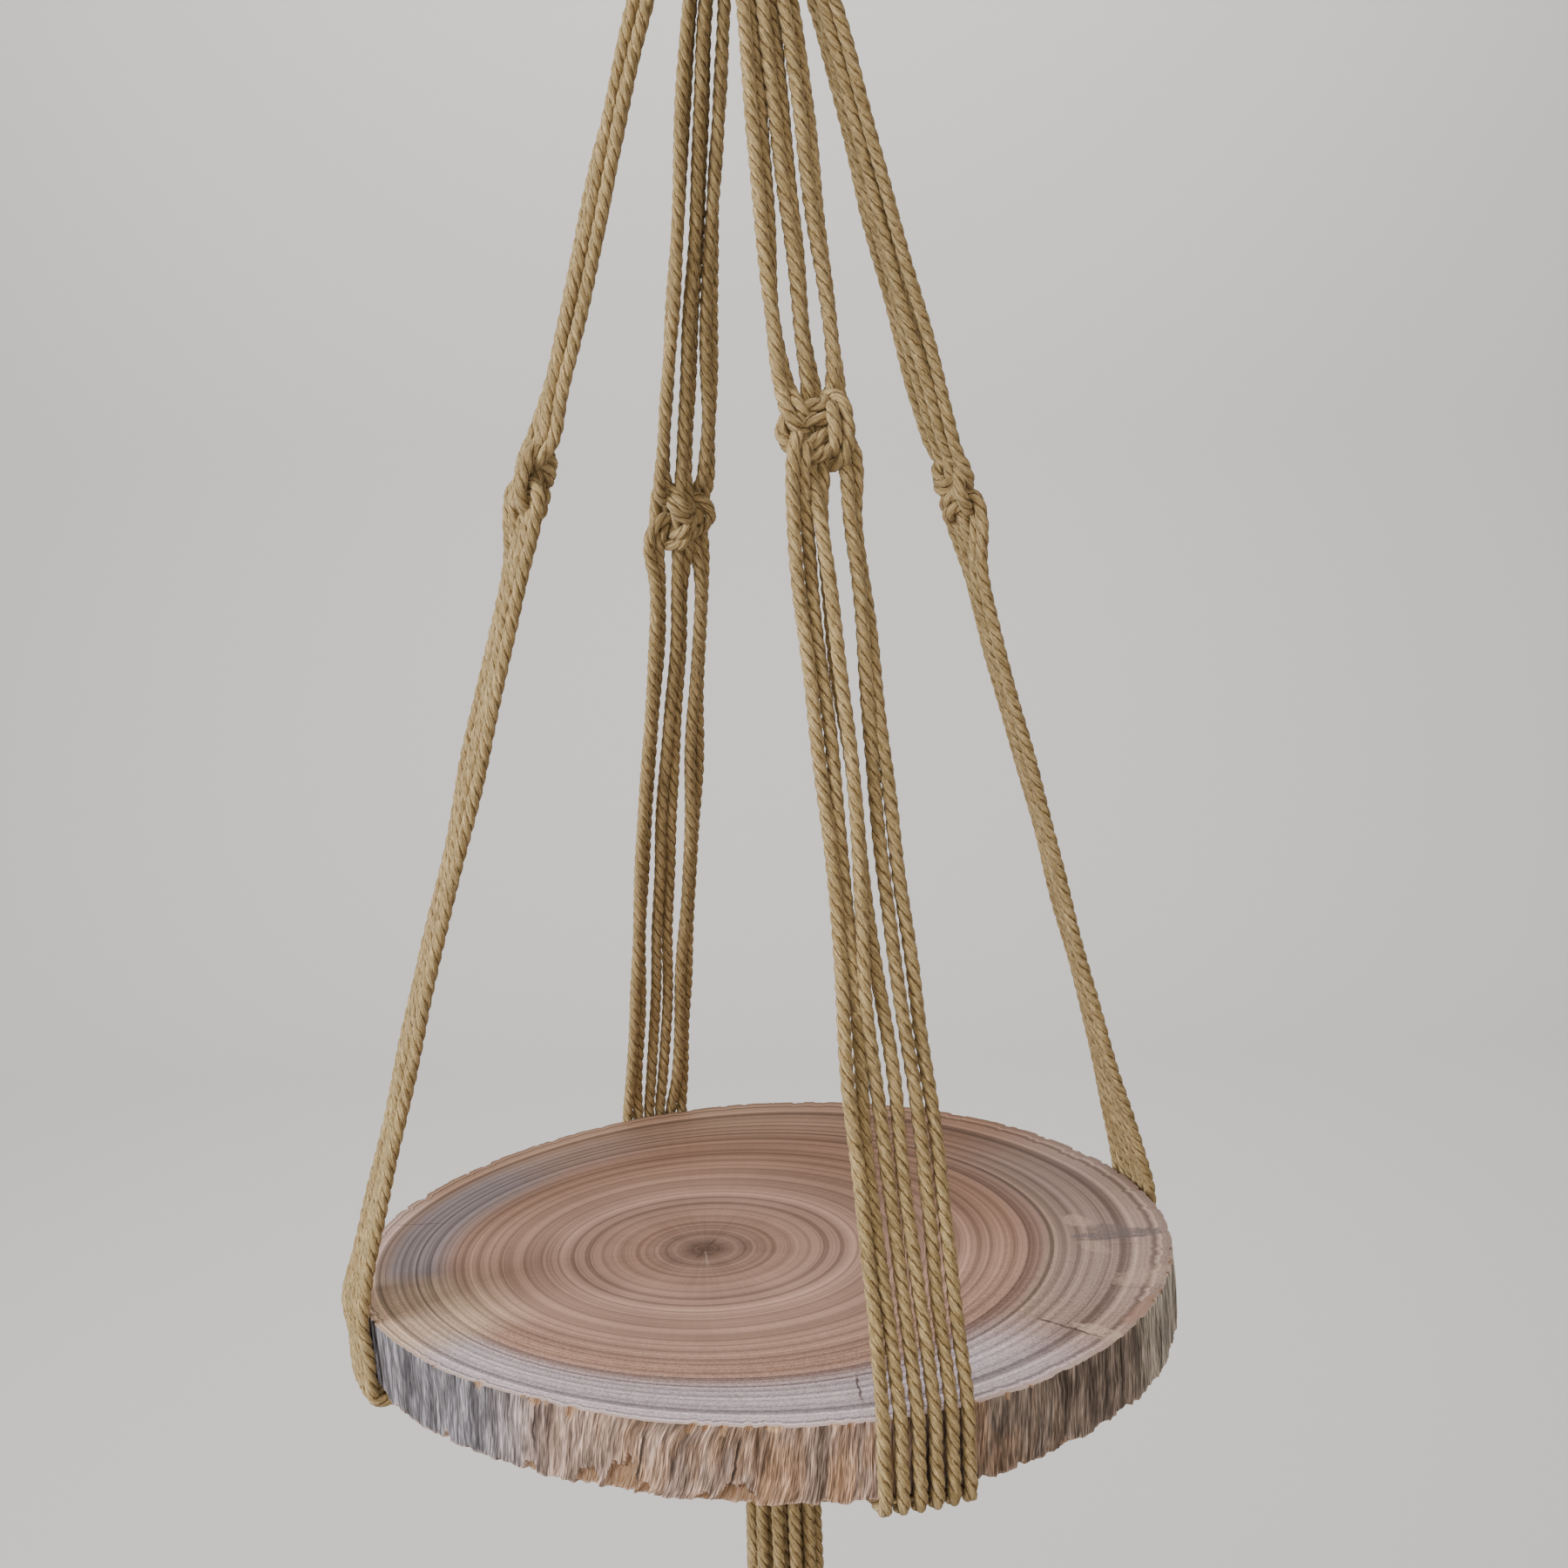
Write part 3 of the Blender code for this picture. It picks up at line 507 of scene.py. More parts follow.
heart = map_range(tree, share, 0.30, 0.70)
outer = map_range(tree, share, 0.70, 0.86)
sapwood_edge = map_range(tree, grown, 0.715, 0.835)
inside_the_bark = map_range(tree, grown, 0.94, 0.85)
# painted shadow: a dark grey band over the outer rings, shown at the rear left
painted_shadow_band = product(tree, map_range(tree, grown, 0.64, 0.76), inside_the_bark)
for across_rings, bearing, inner, reach, amount, tint in (
    # where it lies across the rings, its bearing, how far to either side it is full and how far
    # it reaches, in degrees, its strength and its colour
    (heart, 72.0, 45.0, 110.0, 0.90, (0.235, 0.130, 0.086, 1)),
    # pale sapwood at the front left, its lilac a painted reflection of the cool window light
    (sapwood_edge, 250.0, 44.0, 66.0, 0.92, (0.555, 0.453, 0.489, 1)),
    (outer, 95.0, 15.0, 60.0, 0.70, (0.310, 0.190, 0.128, 1)),
    (outer, 345.0, 18.0, 45.0, 0.80, (0.335, 0.240, 0.208, 1)),
    # painted shadow: the two dark grey bands at the rear left
    (painted_shadow_band, 148.0, 20.0, 44.0, 0.80, (0.205, 0.178, 0.190, 1)),
    (painted_shadow_band, 128.0, 15.0, 55.0, 0.45, (0.190, 0.150, 0.145, 1)),
    (map_range(tree, share, 0.90, 0.94), 160.0, 10.0, 30.0, 0.75, (0.480, 0.340, 0.290, 1)),
    (map_range(tree, share, 0.45, 0.75), 188.0, 7.0, 20.0, 0.80, (0.560, 0.395, 0.270, 1)),
):
    there = near_bearing(tree, rings, bearing, inner, reach)
    colour = blend_colours(tree, product(tree, across_rings, there, amount), colour, tint)
ring_depth = map_range(tree, share, 0.55, 0.80, 0.60, 0.86)
dark_rings = product(tree, map_range(tree, middle, 0.49, 0.68), ring_depth)
colour = blend_colours(tree, dark_rings, colour, scaled(tree, colour, 0.45))
pale_rings = map_range(tree, middle, 0.46, 0.26, 0.0, 0.42)
colour = blend_colours(tree, pale_rings, colour, scaled(tree, colour, 1.45))
colour = scaled(tree, colour, map_range(tree, broad, 0.30, 0.70, 1.16, 0.84))
fine_low = map_range(tree, share, 0.60, 0.80, 0.88, 0.74)
colour = scaled(tree, colour, map_range(tree, fine, 0.30, 0.70, fine_low, 1.15))
_, patchy_shade = streaks(tree, rings, (9.0, 1.3, 1.3), (0.25, 0.75, 0.90, 1.10), 1.5)
colour = scaled(tree, colour, patchy_shade)
_, ray_shade = streaks(tree, rings, (2.5, 34.0, 34.0), (0.35, 0.65, 0.3, 1.7), 1.0)
rays_shown = map_range(tree, share, 0.30, 0.02, 0.03, 0.16)
colour = blend_colours(tree, rays_shown, colour, scaled(tree, colour, ray_shade))
saw_limits = (0.34, 0.66, 0.70, 1.26)
saw_marks, saw_shade = streaks(tree, place, (1.0, 1.6, 1.0), saw_limits, 1.5, 0.7, 1050.0)
rough_sawn = near_bearing(tree, rings, 258.0, 40.0, 100.0)
sapwood = product(tree, map_range(tree, share, 0.45, 0.80), rough_sawn)
saw_shown = calculate(tree, "MULTIPLY_ADD", sapwood, 0.75, 0.12)
colour = blend_colours(tree, saw_shown, colour, scaled(tree, colour, saw_shade))
frayed = noise(tree, place, 230.0, 3.0, 0.7)
grained = map_range(tree, saw_marks, 0.36, 0.60, 0.35, 1.15)
for centre, heading, half_long, half_wide, amount, tint in (
    # pale torn patches round the branch scar and the long crack, peeling bark, and the scar:
    # centre in millimetres, heading in degrees, half length and half width, strength, colour
    ((115.5, -26.0), -70.0, 7.0, 4.5, 0.50, (0.560, 0.390, 0.300, 1)),
    ((110.5, -52.0), -75.0, 7.5, 4.0, 0.35, (0.520, 0.370, 0.290, 1)),
    ((119.0, -83.0), -5.0, 15.0, 6.5, 0.42, (0.540, 0.380, 0.295, 1)),
    ((80.0, -119.0), -60.0, 11.0, 4.0, 0.65, (0.620, 0.450, 0.350, 1)),
    ((101.0, -107.5), 42.0, 13.0, 2.6, 0.75, (0.320, 0.175, 0.120, 1)),
    ((125.0, -44.0), -12.0, 17.0, 4.6, 0.90, (0.150, 0.120, 0.118, 1)),
    ((122.0, -37.0), -12.0, 6.5, 5.0, 0.80, (0.165, 0.130, 0.125, 1)),
):
    spot = blotch(tree, place, centre, heading, half_long, half_wide, frayed)
    colour = blend_colours(tree, product(tree, spot, grained, amount), colour, tint)
shake = tremble(tree, place, 260.0, 2.0, 0.0022)
for start, end, half_width, amount, tint in (
    # the star of the pith, then the drying cracks and the feathered scar of a branch: both ends
    # and the half width in millimetres, strength, colour
    ((-27.0, 3.3), (-19.5, 12.5), 0.75, 0.60, (0.09, 0.05, 0.035, 1)),
    ((-27.0, 3.3), (-33.5, -5.0), 0.80, 0.60, (0.09, 0.05, 0.035, 1)),
    ((-27.0, 3.3), (-13.5, 7.0), 0.60, 0.50, (0.10, 0.055, 0.04, 1)),
    ((-27.0, 3.3), (-37.0, 5.5), 0.60, 0.45, (0.10, 0.055, 0.04, 1)),
    ((-27.5, 1.5), (-31.0, -14.0), 0.45, 0.40, (0.56, 0.42, 0.36, 1)),
    ((64.0, -99.5), (82.0, -127.5), 0.70, 0.90, (0.06, 0.035, 0.03, 1)),
    ((103.0, -87.0), (119.0, -95.5), 0.40, 0.60, (0.14, 0.09, 0.07, 1)),
    ((-10.5, -118.0), (-15.5, -139.0), 0.70, 0.85, (0.07, 0.045, 0.04, 1)),
    ((-135.0, 73.0), (-112.0, 66.0), 0.55, 0.75, (0.10, 0.06, 0.05, 1)),
    ((105.5, -43.0), (139.5, -50.0), 0.50, 0.70, (0.11, 0.075, 0.065, 1)),
    ((116.0, -51.5), (131.0, -55.5), 0.45, 0.60, (0.12, 0.08, 0.07, 1)),
):
    line = scratch(tree, place, start, end, half_width, shake)
    colour = blend_colours(tree, product(tree, line, amount), colour, tint)
splintered_edge = near_bearing(tree, rings, 250.0, 40.0, 80.0)
edge_lip = product(tree, map_range(tree, share, 0.978, 0.992), splintered_edge, 0.55)
colour = blend_colours(tree, edge_lip, colour, (0.640, 0.450, 0.350, 1))
tree.links.new(colour, shader.inputs["Base Color"])
ring_height = product(tree, middle, 0.35)
relief_height = calculate(tree, "MULTIPLY_ADD", saw_marks, saw_shown, ring_height)
bump = add_node(tree, "Bump", {"Strength": 0.55, "Distance": 0.0005, "Height": relief_height})
tree.links.new(bump.outputs[0], shader.inputs["Normal"])

# Torn live edge: upright fibres, grey at the left with a painted lilac of cool window light, warm in
# front and dark at the right, and painted shade in its deepest hollows
live_edge, tree, shader = new_material("torn live edge", 0.88)
fibres = add_node(tree, "Attribute", {}, attribute_name="fibre").outputs["Vector"]
torn_here = add_node(tree, "Attribute", {}, attribute_name="torn").outputs["Fac"]
lip_here = add_node(tree, "Attribute", {}, attribute_name="lip").outputs["Fac"]
sunk = add_node(tree, "Attribute", {}, attribute_name="depth").outputs["Fac"]
height_here = add_node(tree, "SeparateXYZ", {0: fibres}).outputs[2]
_, coarse = streaks(tree, fibres, (0.30, 0.30, 0.045), (0.36, 0.60, 0.0, 1.0), 2.0, 0.6)
thin, thin_shade = streaks(tree, fibres, (0.95, 0.95, 0.085), (0.35, 0.65, 0.54, 1.32), 2.0, 0.65)
finest_limits = (0.36, 0.64, 0.58, 1.36)
finest, finest_shade = streaks(tree, fibres, (2.1, 2.1, 0.16), finest_limits, 1.5, 0.6, 1.0, (9, 0, 0))
patch_limits = (0.48, 0.60, 0.0, 1.0)
_, patches = streaks(tree, fibres, (0.11, 0.11, 0.040), patch_limits, shift=(40, 0, 0))


def near_on_rim(degrees, inner, outer):
    """near_bearing for the rim, whose fibre places lie one mean radius from the middle."""
    return near_bearing(tree, fibres, degrees, inner, outer, 0, FIBRE_RADIUS)


pale = (0.450, 0.310, 0.248, 1)
dark = (0.240, 0.162, 0.127, 1)
for bearing, inner, reach, pale_tint, dark_tint in (
    # bearing, full and faded out to either side of it in degrees, colours of pale and dark fibres
    # grey at the left, its lilac tint painted cool light from the window
    (196.0, 12.0, 27.0, (0.262, 0.240, 0.262, 1), (0.135, 0.121, 0.128, 1)),
    (300.0, 18.0, 40.0, (0.275, 0.210, 0.172, 1), (0.165, 0.124, 0.100, 1)),
    (333.0, 14.0, 28.0, (0.560, 0.480, 0.400, 1), (0.320, 0.272, 0.230, 1)),
    (90.0, 40.0, 80.0, (0.290, 0.220, 0.178, 1), (0.150, 0.112, 0.090, 1)),
):
    there = near_on_rim(bearing, inner, reach)
    pale = blend_colours(tree, there, pale, pale_tint)
    dark = blend_colours(tree, there, dark, dark_tint)
colour = blend_colours(tree, coarse, dark, pale)
warm = product(tree, patches, near_on_rim(256.0, 16.0, 40.0), 0.68)
colour = blend_colours(tree, warm, colour, (0.330, 0.200, 0.125, 1))
lower = map_range(tree, height_here, 24.0, 9.0, 0.35, 1.0)
for bearing, inner, reach, amount in (
    # fresh orange wood, most of it low down: bearing, full and faded out in degrees, strength
    (233.0, 1.0, 3.5, 0.35),
    (252.6, 1.6, 4.0, 0.60),
    (259.8, 0.8, 2.4, 0.70),
    (266.5, 0.8, 2.5, 0.50),
):
    there = near_on_rim(bearing, inner, reach)
    ragged_there = map_range(tree, calculate(tree, "MULTIPLY_ADD", thin, 1.6, there), 1.15, 1.55)
    shown = product(tree, ragged_there, there, lower, amount)
    colour = blend_colours(tree, shown, colour, (0.440, 0.245, 0.130, 1))
stain_limits = (0.50, 0.64, 1.06, 0.62)
_, stain_shade = streaks(tree, fibres, (0.20, 0.20, 0.020), stain_limits, 1.0, shift=(7, 3, 0))
colour = scaled(tree, colour, stain_shade)
colour = scaled(tree, colour, thin_shade)
colour = scaled(tree, colour, finest_shade)
fresh_dark, fresh_pale = (0.430, 0.235, 0.125, 1), (0.620, 0.400, 0.250, 1)
fresh = blend_colours(tree, map_range(tree, finest, 0.35, 0.65), fresh_dark, fresh_pale)
colour = blend_colours(tree, product(tree, torn_here, 0.85), colour, fresh)
# painted shade: the colour darkens where the torn rim is sunk deepest
colour = scaled(tree, colour, map_range(tree, sunk, 0.45, 1.0, 1.0, 0.62))
fibre_shake = tremble(tree, fibres, 0.22, 2.0, 2.4)
for bearing, low, high, half_width in (
    # upright drying cracks: bearing in degrees, from and to a height, half width in millimetres
    (218.6, 7.0, 21.0, 0.60),
    (234.2, 3.0, 24.0, 1.00),
    (246.4, 5.0, 24.0, 0.85),
    (303.6, 6.0, 27.0, 0.70),
    (318.0, 0.0, 24.0, 0.55),
    (30.0, 1.0, 25.0, 0.70),
    (112.0, 4.0, 27.0, 0.70),
    (163.0, 2.0, 22.0, 0.60),
):
    side_way = (-math.sin(math.radians(bearing)), math.cos(math.radians(bearing)), 0.0)
    beside = calculate(tree, "ADD", dot(tree, fibres, side_way), fibre_shake)
    line = product(
        tree,
        map_range(tree, calculate(tree, "ABSOLUTE", beside), half_width, half_width * 0.2),
        near_on_rim(bearing, 3.0, 6.0),
        map_range(tree, height_here, low - 1.5, low + 3.0),
        map_range(tree, height_here, high + 1.5, high - 3.0),
    )
    colour = blend_colours(tree, product(tree, line, 0.9), colour, (0.035, 0.026, 0.022, 1))
ragged_foot = map_range(tree, thin, 0.40, 0.55)
low_lip = product(tree, map_range(tree, height_here, 1.3, 0.3), ragged_foot, 0.6)
chip_lip = product(tree, lip_here, map_range(tree, finest, 0.42, 0.58), 0.75)
lips = calculate(tree, "MAXIMUM", low_lip, chip_lip)
colour = blend_colours(tree, lips, colour, (0.560, 0.395, 0.315, 1))
tree.links.new(colour, shader.inputs["Base Color"])
fibre_height = calculate(tree, "MULTIPLY_ADD", finest, 0.7, thin)
bump = add_node(tree, "Bump", {"Strength": 1.0, "Distance": 0.0011, "Height": fibre_height})
tree.links.new(bump.outputs[0], shader.inputs["Normal"])

wood_data.materials.append(end_grain)
wood_data.materials.append(live_edge)
on_rim = np.zeros(len(wood_data.polygons), dtype=np.int32)
first_rim = len(FACE_RINGS) * WOOD_COLUMNS
on_rim[first_rim : first_rim + len(RIM_ROWS) * WOOD_COLUMNS] = 1
wood_data.polygons.foreach_set("material_index", on_rim)
wood_data.shade_smooth()
wood_data.set_sharp_from_angle(angle=math.radians(48))
wood = bpy.data.objects.new("wood_round_finish", wood_data)
bpy.context.scene.collection.objects.link(wood)
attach(wood, "root")
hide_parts("wood_round")


# The four arms
# Each is six lengths of soft three-ply cotton cord, tied once in a square knot with doubled
# cords, laid over the rim of the wood and drawn in under it, where the lower wrap takes them.

CORD_DIAMETER = 0.0050
STRAND_RADIUS = 0.0022
SEAT_GAP = 0.0003
EDGE_CLEARANCE = 0.0010
BARK_DEPTH = 0.0007
LOOP_DROP = 0.060
TOP_WRAP_TURNS = 9
WRAP_PITCH = 0.0049
GATHER_HEIGHT = 0.541
UNDER_BEND = 0.0180
BOTTOM_WRAP_TURNS = 8
TAIL_LENGTH = 0.200
TOP_WRAP_TOP = -LOOP_DROP
BOTTOM_WRAP_TOP = SHELF_UNDERSIDE - UNDER_BEND
BOTTOM_WRAP_BOTTOM = BOTTOM_WRAP_TOP - BOTTOM_WRAP_TURNS * WRAP_PITCH
TUCKED_INTO_WRAP = 0.0180

ARMS = (
    # name, bearing in degrees, height of the knot above the shelf, turn of the knot about the
    # arm in degrees, pitch of the cords over the rim
    ("front", -90.0, 0.313, 0.0, 0.0059),
    ("right", 2.6, 0.284, 9.0, 0.0056),
    ("back", 91.6, 0.272, 0.0, 0.0051),
    ("left", 180.0, 0.296, 3.0, 0.0056),
)
SPREADS = {
    # height above the shelf, turn of the flat arm about its own line in degrees, and for each
    # of the three pairs of cords its place across and half its spacing in millimetres
    "front": (
        (0.018, 0.0, (-11.8, 2.6), (-0.2, 2.9), (11.7, 2.9)),
        (0.120, 0.0, (-11.3, 2.2), (-1.8, 2.8), (10.3, 2.7)),
        (0.160, 0.0, (-9.8, 2.1), (-1.9, 1.4), (9.1, 2.5)),
        (0.202, 0.0, (-8.9, 2.4), (-0.6, 0.9), (9.5, 2.4)),
        (0.283, 0.0, (-8.9, 2.3), (-1.6, 0.8), (9.5, 1.6)),
        (0.343, 0.0, (-10.3, 1.3), (-0.6, 1.2), (9.4, 0.8)),
        (0.383, 0.0, (-8.9, 1.9), (-0.2, 1.9), (8.7, 1.8)),
        (0.450, 0.0, (-7.0, 1.9), (0.0, 1.9), (7.0, 1.9)),
    ),
    "back": (
        (0.018, 0.0, (-11.2, 1.9), (-0.4, 2.7), (10.3, 1.9)),
        (0.071, 0.0, (-10.8, 1.8), (-0.2, 2.6), (10.2, 1.7)),
        (0.150, 0.0, (-10.2, 1.7), (0.4, 2.3), (9.9, 1.2)),
        (0.189, 0.0, (-10.0, 1.6), (0.1, 1.9), (9.5, 1.5)),
        (0.242, 0.0, (-9.8, 1.3), (-0.4, 1.7), (8.6, 1.6)),
        (0.302, 0.0, (-8.9, 1.4), (0.1, 1.4), (8.7, 0.8)),
        (0.352, 0.0, (-7.2, 1.4), (0.3, 1.4), (8.0, 0.5)),
        (0.450, 0.0, (-6.6, 0.8), (-0.6, 1.2), (5.8, 1.4)),
    ),
}
SIDE_PAIRS = (
    # the same three pairs for both side arms, whose cords lie alike, from the rim up
    ((-11.2, 2.7), (0.0, 2.7), (11.2, 2.7)),
    ((-10.6, 2.5), (0.0, 2.5), (10.6, 2.5)),
    ((-10.2, 2.3), (0.0, 2.3), (10.2, 2.3)),
    ((-9.8, 2.3), (0.0, 2.3), (9.8, 2.3)),
    ((-9.5, 2.3), (0.3, 2.2), (9.6, 2.3)),
    ((-9.3, 1.4), (0.2, 1.4), (9.3, 1.4)),
    ((-7.6, 1.4), (0.0, 1.4), (7.6, 1.4)),
    ((-6.8, 1.5), (0.0, 1.5), (6.8, 1.5)),
)
for name, heights, turns_of_arm in (
    # arm, and its rows' heights and turns
    ("right", (0.018, 0.055, 0.110, 0.180, 0.254, 0.314, 0.380, 0.450), (6, 14, 18, 19, 13, 7, 7, 8)),
    ("left", (0.018, 0.055, 0.110, 0.190, 0.266, 0.326, 0.380, 0.450), (3, 6, 7, 6, 3, 10, 12, 12)),
):
    rows_up = zip(heights, turns_of_arm, SIDE_PAIRS)
    SPREADS[name] = tuple((height, turn, *pairs) for height, turn, pairs in rows_up)
UNDER_KNOT_ROWS = 5
PAIR_REACH = 0.0024
CORDS_PER_ARM = 6
TUCKED_PITCH = 0.00475
GATHER_RADIUS = 0.0098
BUNDLE_LEAD = 0.010
OUTER_RING = 0.0124
MIDDLE_RING = 0.0078
INNER_RING = 0.0036
BUNDLE_UNDER = (
    # ring radius, bearing in degrees, dip under the wood
    (OUTER_RING, -30.0, 0.0045),
    (MIDDLE_RING, -22.5, 0.0022),
    (OUTER_RING, 0.0, 0.0049),
    (INNER_RING, 0.0, 0.0008),
    (MIDDLE_RING, 22.5, 0.0022),
    (OUTER_RING, 30.0, 0.0045),
)
BUNDLE_OVER = (
    # ring radius, bearing in degrees
    (OUTER_RING, -30.0),
    (MIDDLE_RING, -22.5),
    (OUTER_RING, 0.0),
    (INNER_RING, 0.0),
    (OUTER_RING, 30.0),
    (MIDDLE_RING, 22.5),
)
BUNDLE_RADIUS = OUTER_RING + CORD_DIAMETER / 2

# The square knot in millimetres from its centre, as seen from outside: the middle of a pair of
# cords (across, out, up), then the step from there to the pair's right cord
RIGHT_PAIR_KNOT = (
    (8.6, 0.2, 14.5, 1.7, -1.3, 0.0),
    (6.6, 1.6, 9.0, 1.7, 0.0, -1.5),
    (2.2, 3.8, 5.6, 0.0, 0.0, -2.25),
    (-2.8, 3.8, 5.4, 0.0, 0.0, -2.25),
    (-7.4, 1.2, 3.8, 1.2, 0.0, -1.9),
    (-9.3, -0.6, -0.2, 2.25, 0.0, 0.0),
    (-7.2, 1.2, -4.6, 1.2, 0.0, 1.9),
    (-2.8, 3.8, -7.0, -0.5, 0.0, 2.2),
    (1.8, 3.8, -4.6, -0.9, 0.0, 2.05),
    (6.4, 1.6, -3.4, 0.6, 0.0, 2.15),
    (10.2, 0.0, -6.6, 2.0, 0.0, 1.0),
    (11.0, 0.0, -13.0, 2.2, -0.6, 0.0),
)
LEFT_PAIR_KNOT = (
    (-9.2, 1.0, 14.5, 1.9, -1.2, 0.0),
    (-8.6, 3.8, 8.2, 2.0, 0.0, 0.9),
    (-6.4, 4.0, 3.0, 1.4, 0.0, 1.7),
    (-3.6, 0.4, 1.4, 0.2, 0.0, 2.2),
    (-0.6, -3.8, 2.0, 0.0, 0.0, 2.2),
    (3.0, -3.6, 5.6, -0.9, 0.0, 2.0),
    (4.6, 0.4, 9.0, -0.2, 0.0, 2.2),
    (6.4, 5.2, 7.9, 1.9, 0.0, 1.2),
    (6.9, 6.3, 1.6, 2.25, 0.0, 0.0),
    (6.7, 5.6, -5.4, 2.2, 0.0, -0.5),
    (5.4, 1.4, -9.4, 1.3, 0.0, -1.8),
    (2.0, -3.6, -8.4, 0.0, 0.0, -2.2),
    (-2.2, -3.8, -5.0, 0.0, 0.0, -2.2),
    (-5.0, 0.2, -3.4, 0.2, 0.0, -2.2),
    (-7.2, 5.2, -5.2, 1.7, 0.0, -1.4),
    (-8.8, 4.2, -12.6, 2.1, -0.6, 0.0),
)
FILLER_KNOT = (
    (0.2, 0.0, 13.5, 1.7, -1.2, 0.0),
    (0.0, 0.0, 6.0, 2.25, 0.0, 0.0),
    (-0.4, 0.0, -6.0, 2.25, 0.0, 0.0),
    (-0.9, 0.0, -13.5, 2.25, -0.3, 0.0),
)


def rim_out(bearing, across, share):
    """How far out the rim lies along an arm's bearing, a little beside its middle line."""
    turn = math.asin(across / WOOD_RADIUS)
    return float(wood_radius(bearing + turn, share) + BARK_DEPTH) * math.cos(turn)


def in_bundle(ring, place):
    """A cord's place, out and across, on a ring of the bundle at an angle from the arm."""
    return ring * math.cos(math.radians(place)), ring * math.sin(math.radians(place))


def under_route(bearing, index, rim_pitch):
    """A cord's points (out, across, up from the shelf's top) from inside the lower wrap, along
    the underside and round the rim."""
    ring, place, dip = BUNDLE_UNDER[index]
    ring_out, ring_across = in_bundle(ring, place)
    at_rim = (index - (CORDS_PER_ARM - 1) / 2) * rim_pitch
    tucked = (index - (CORDS_PER_ARM - 1) / 2) * TUCKED_PITCH
    seat = -WOOD_THICKNESS - STRAND_RADIUS - SEAT_GAP
    hold = STRAND_RADIUS + EDGE_CLEARANCE
    low = rim_out(bearing, at_rim, 0.0)
    high = rim_out(bearing, at_rim, 1.0)
    end = -WOOD_THICKNESS - UNDER_BEND + SEAT_GAP
    return [
        (ring_out, ring_across, end - TUCKED_INTO_WRAP),
        (ring_out, ring_across, end),
        (ring_out, ring_across, seat - dip - 0.0090),
        (ring_out + 0.0025, ring_across, seat - dip - 0.0028),
        (ring_out + 0.0085, ring_across + 0.30 * tucked, seat - dip * 0.9),
        (0.0300, tucked, seat - dip * 0.3),
        (0.0900, (tucked + at_rim) / 2, seat),
        (low - 0.0180, at_rim, seat),
        (low - 0.0045, at_rim, -WOOD_THICKNESS - hold * 0.92),
        (low + hold * 0.71, at_rim, -WOOD_THICKNESS - hold * 0.71),
        (low + hold, at_rim, -WOOD_THICKNESS + 0.0030),
        ((low + high) / 2 + hold - 0.0006, at_rim, -WOOD_THICKNESS / 2),
        (high + hold, at_rim, -0.0010),
    ]


def arm_line(bearing, height):
    """The arm's middle line, straight from the rim to the gathering."""
    foot = rim_out(bearing, 0.0, 1.0) + STRAND_RADIUS + EDGE_CLEARANCE
    return foot + (GATHER_RADIUS - foot) * height / GATHER_HEIGHT


def turned(bearing, height, across, out, turn):
    """Points beside the arm's middle line, turned about that line."""
    turn = math.radians(turn)
    return (
        arm_line(bearing, height) + out * math.cos(turn) + across * math.sin(turn),
        across * math.cos(turn) - out * math.sin(turn),
    )


def spread_point(bearing, index, row):
    """A cord's place in the spread arm. The two cords of a pair touch: what they lack in spacing
    they stand apart in depth, by the other side of a right triangle."""
    height, turn, *pairs = row
    place, half = np.array(pairs[index // 2]) / 1000
    side = 1 if index % 2 else -1
    depth = math.sqrt(max(PAIR_REACH**2 - half**2, 0.0))
    return (*turned(bearing, height, place + side * half, -side * depth, turn), height)


def knot_route(bearing, index, knot_height, turn):
    """A cord's points through the knot, from the bottom up, tipped with the leaning arm."""
    table = np.array((LEFT_PAIR_KNOT, FILLER_KNOT, RIGHT_PAIR_KNOT)[index // 2])[::-1]
    across, out, up = (table[:, :3] + (1 if index % 2 else -1) * table[:, 3:]).T / 1000
    tip = math.atan2(arm_line(bearing, 0.0) - GATHER_RADIUS, GATHER_HEIGHT)
    out, across = turned(bearing, knot_height, across, out, turn)
    out = out - arm_line(bearing, knot_height)
    return list(np.stack([
        arm_line(bearing, knot_height) + out * math.cos(tip) - up * math.sin(tip),
        across,
        knot_height + out * math.sin(tip) + up * math.cos(tip),
    ], axis=1))


def over_route(name, bearing, index, knot_height, turn):
    """A cord's points from the rim up through the knot into the upper wrap."""
    rows = SPREADS[name]
    points = [spread_point(bearing, index, row) for row in rows[:UNDER_KNOT_ROWS]]
    points += knot_route(bearing, index, knot_height, turn)
    points += [spread_point(bearing, index, row) for row in rows[UNDER_KNOT_ROWS:]]
    ring_out, ring_across = in_bundle(*BUNDLE_OVER[index])
    out, across, height = points[-1]
    bundle_height = GATHER_HEIGHT - BUNDLE_LEAD
    for way in (0.4, 0.8, 1.0):
        points.append((
            out + (ring_out - out) * way,
            across + (ring_across - across) * way,
            height + (bundle_height - height) * way,
        ))
    points.append((ring_out, ring_across, GATHER_HEIGHT - SEAT_GAP))
    points.append((ring_out, ring_across, GATHER_HEIGHT + TUCKED_INTO_WRAP))
    return points


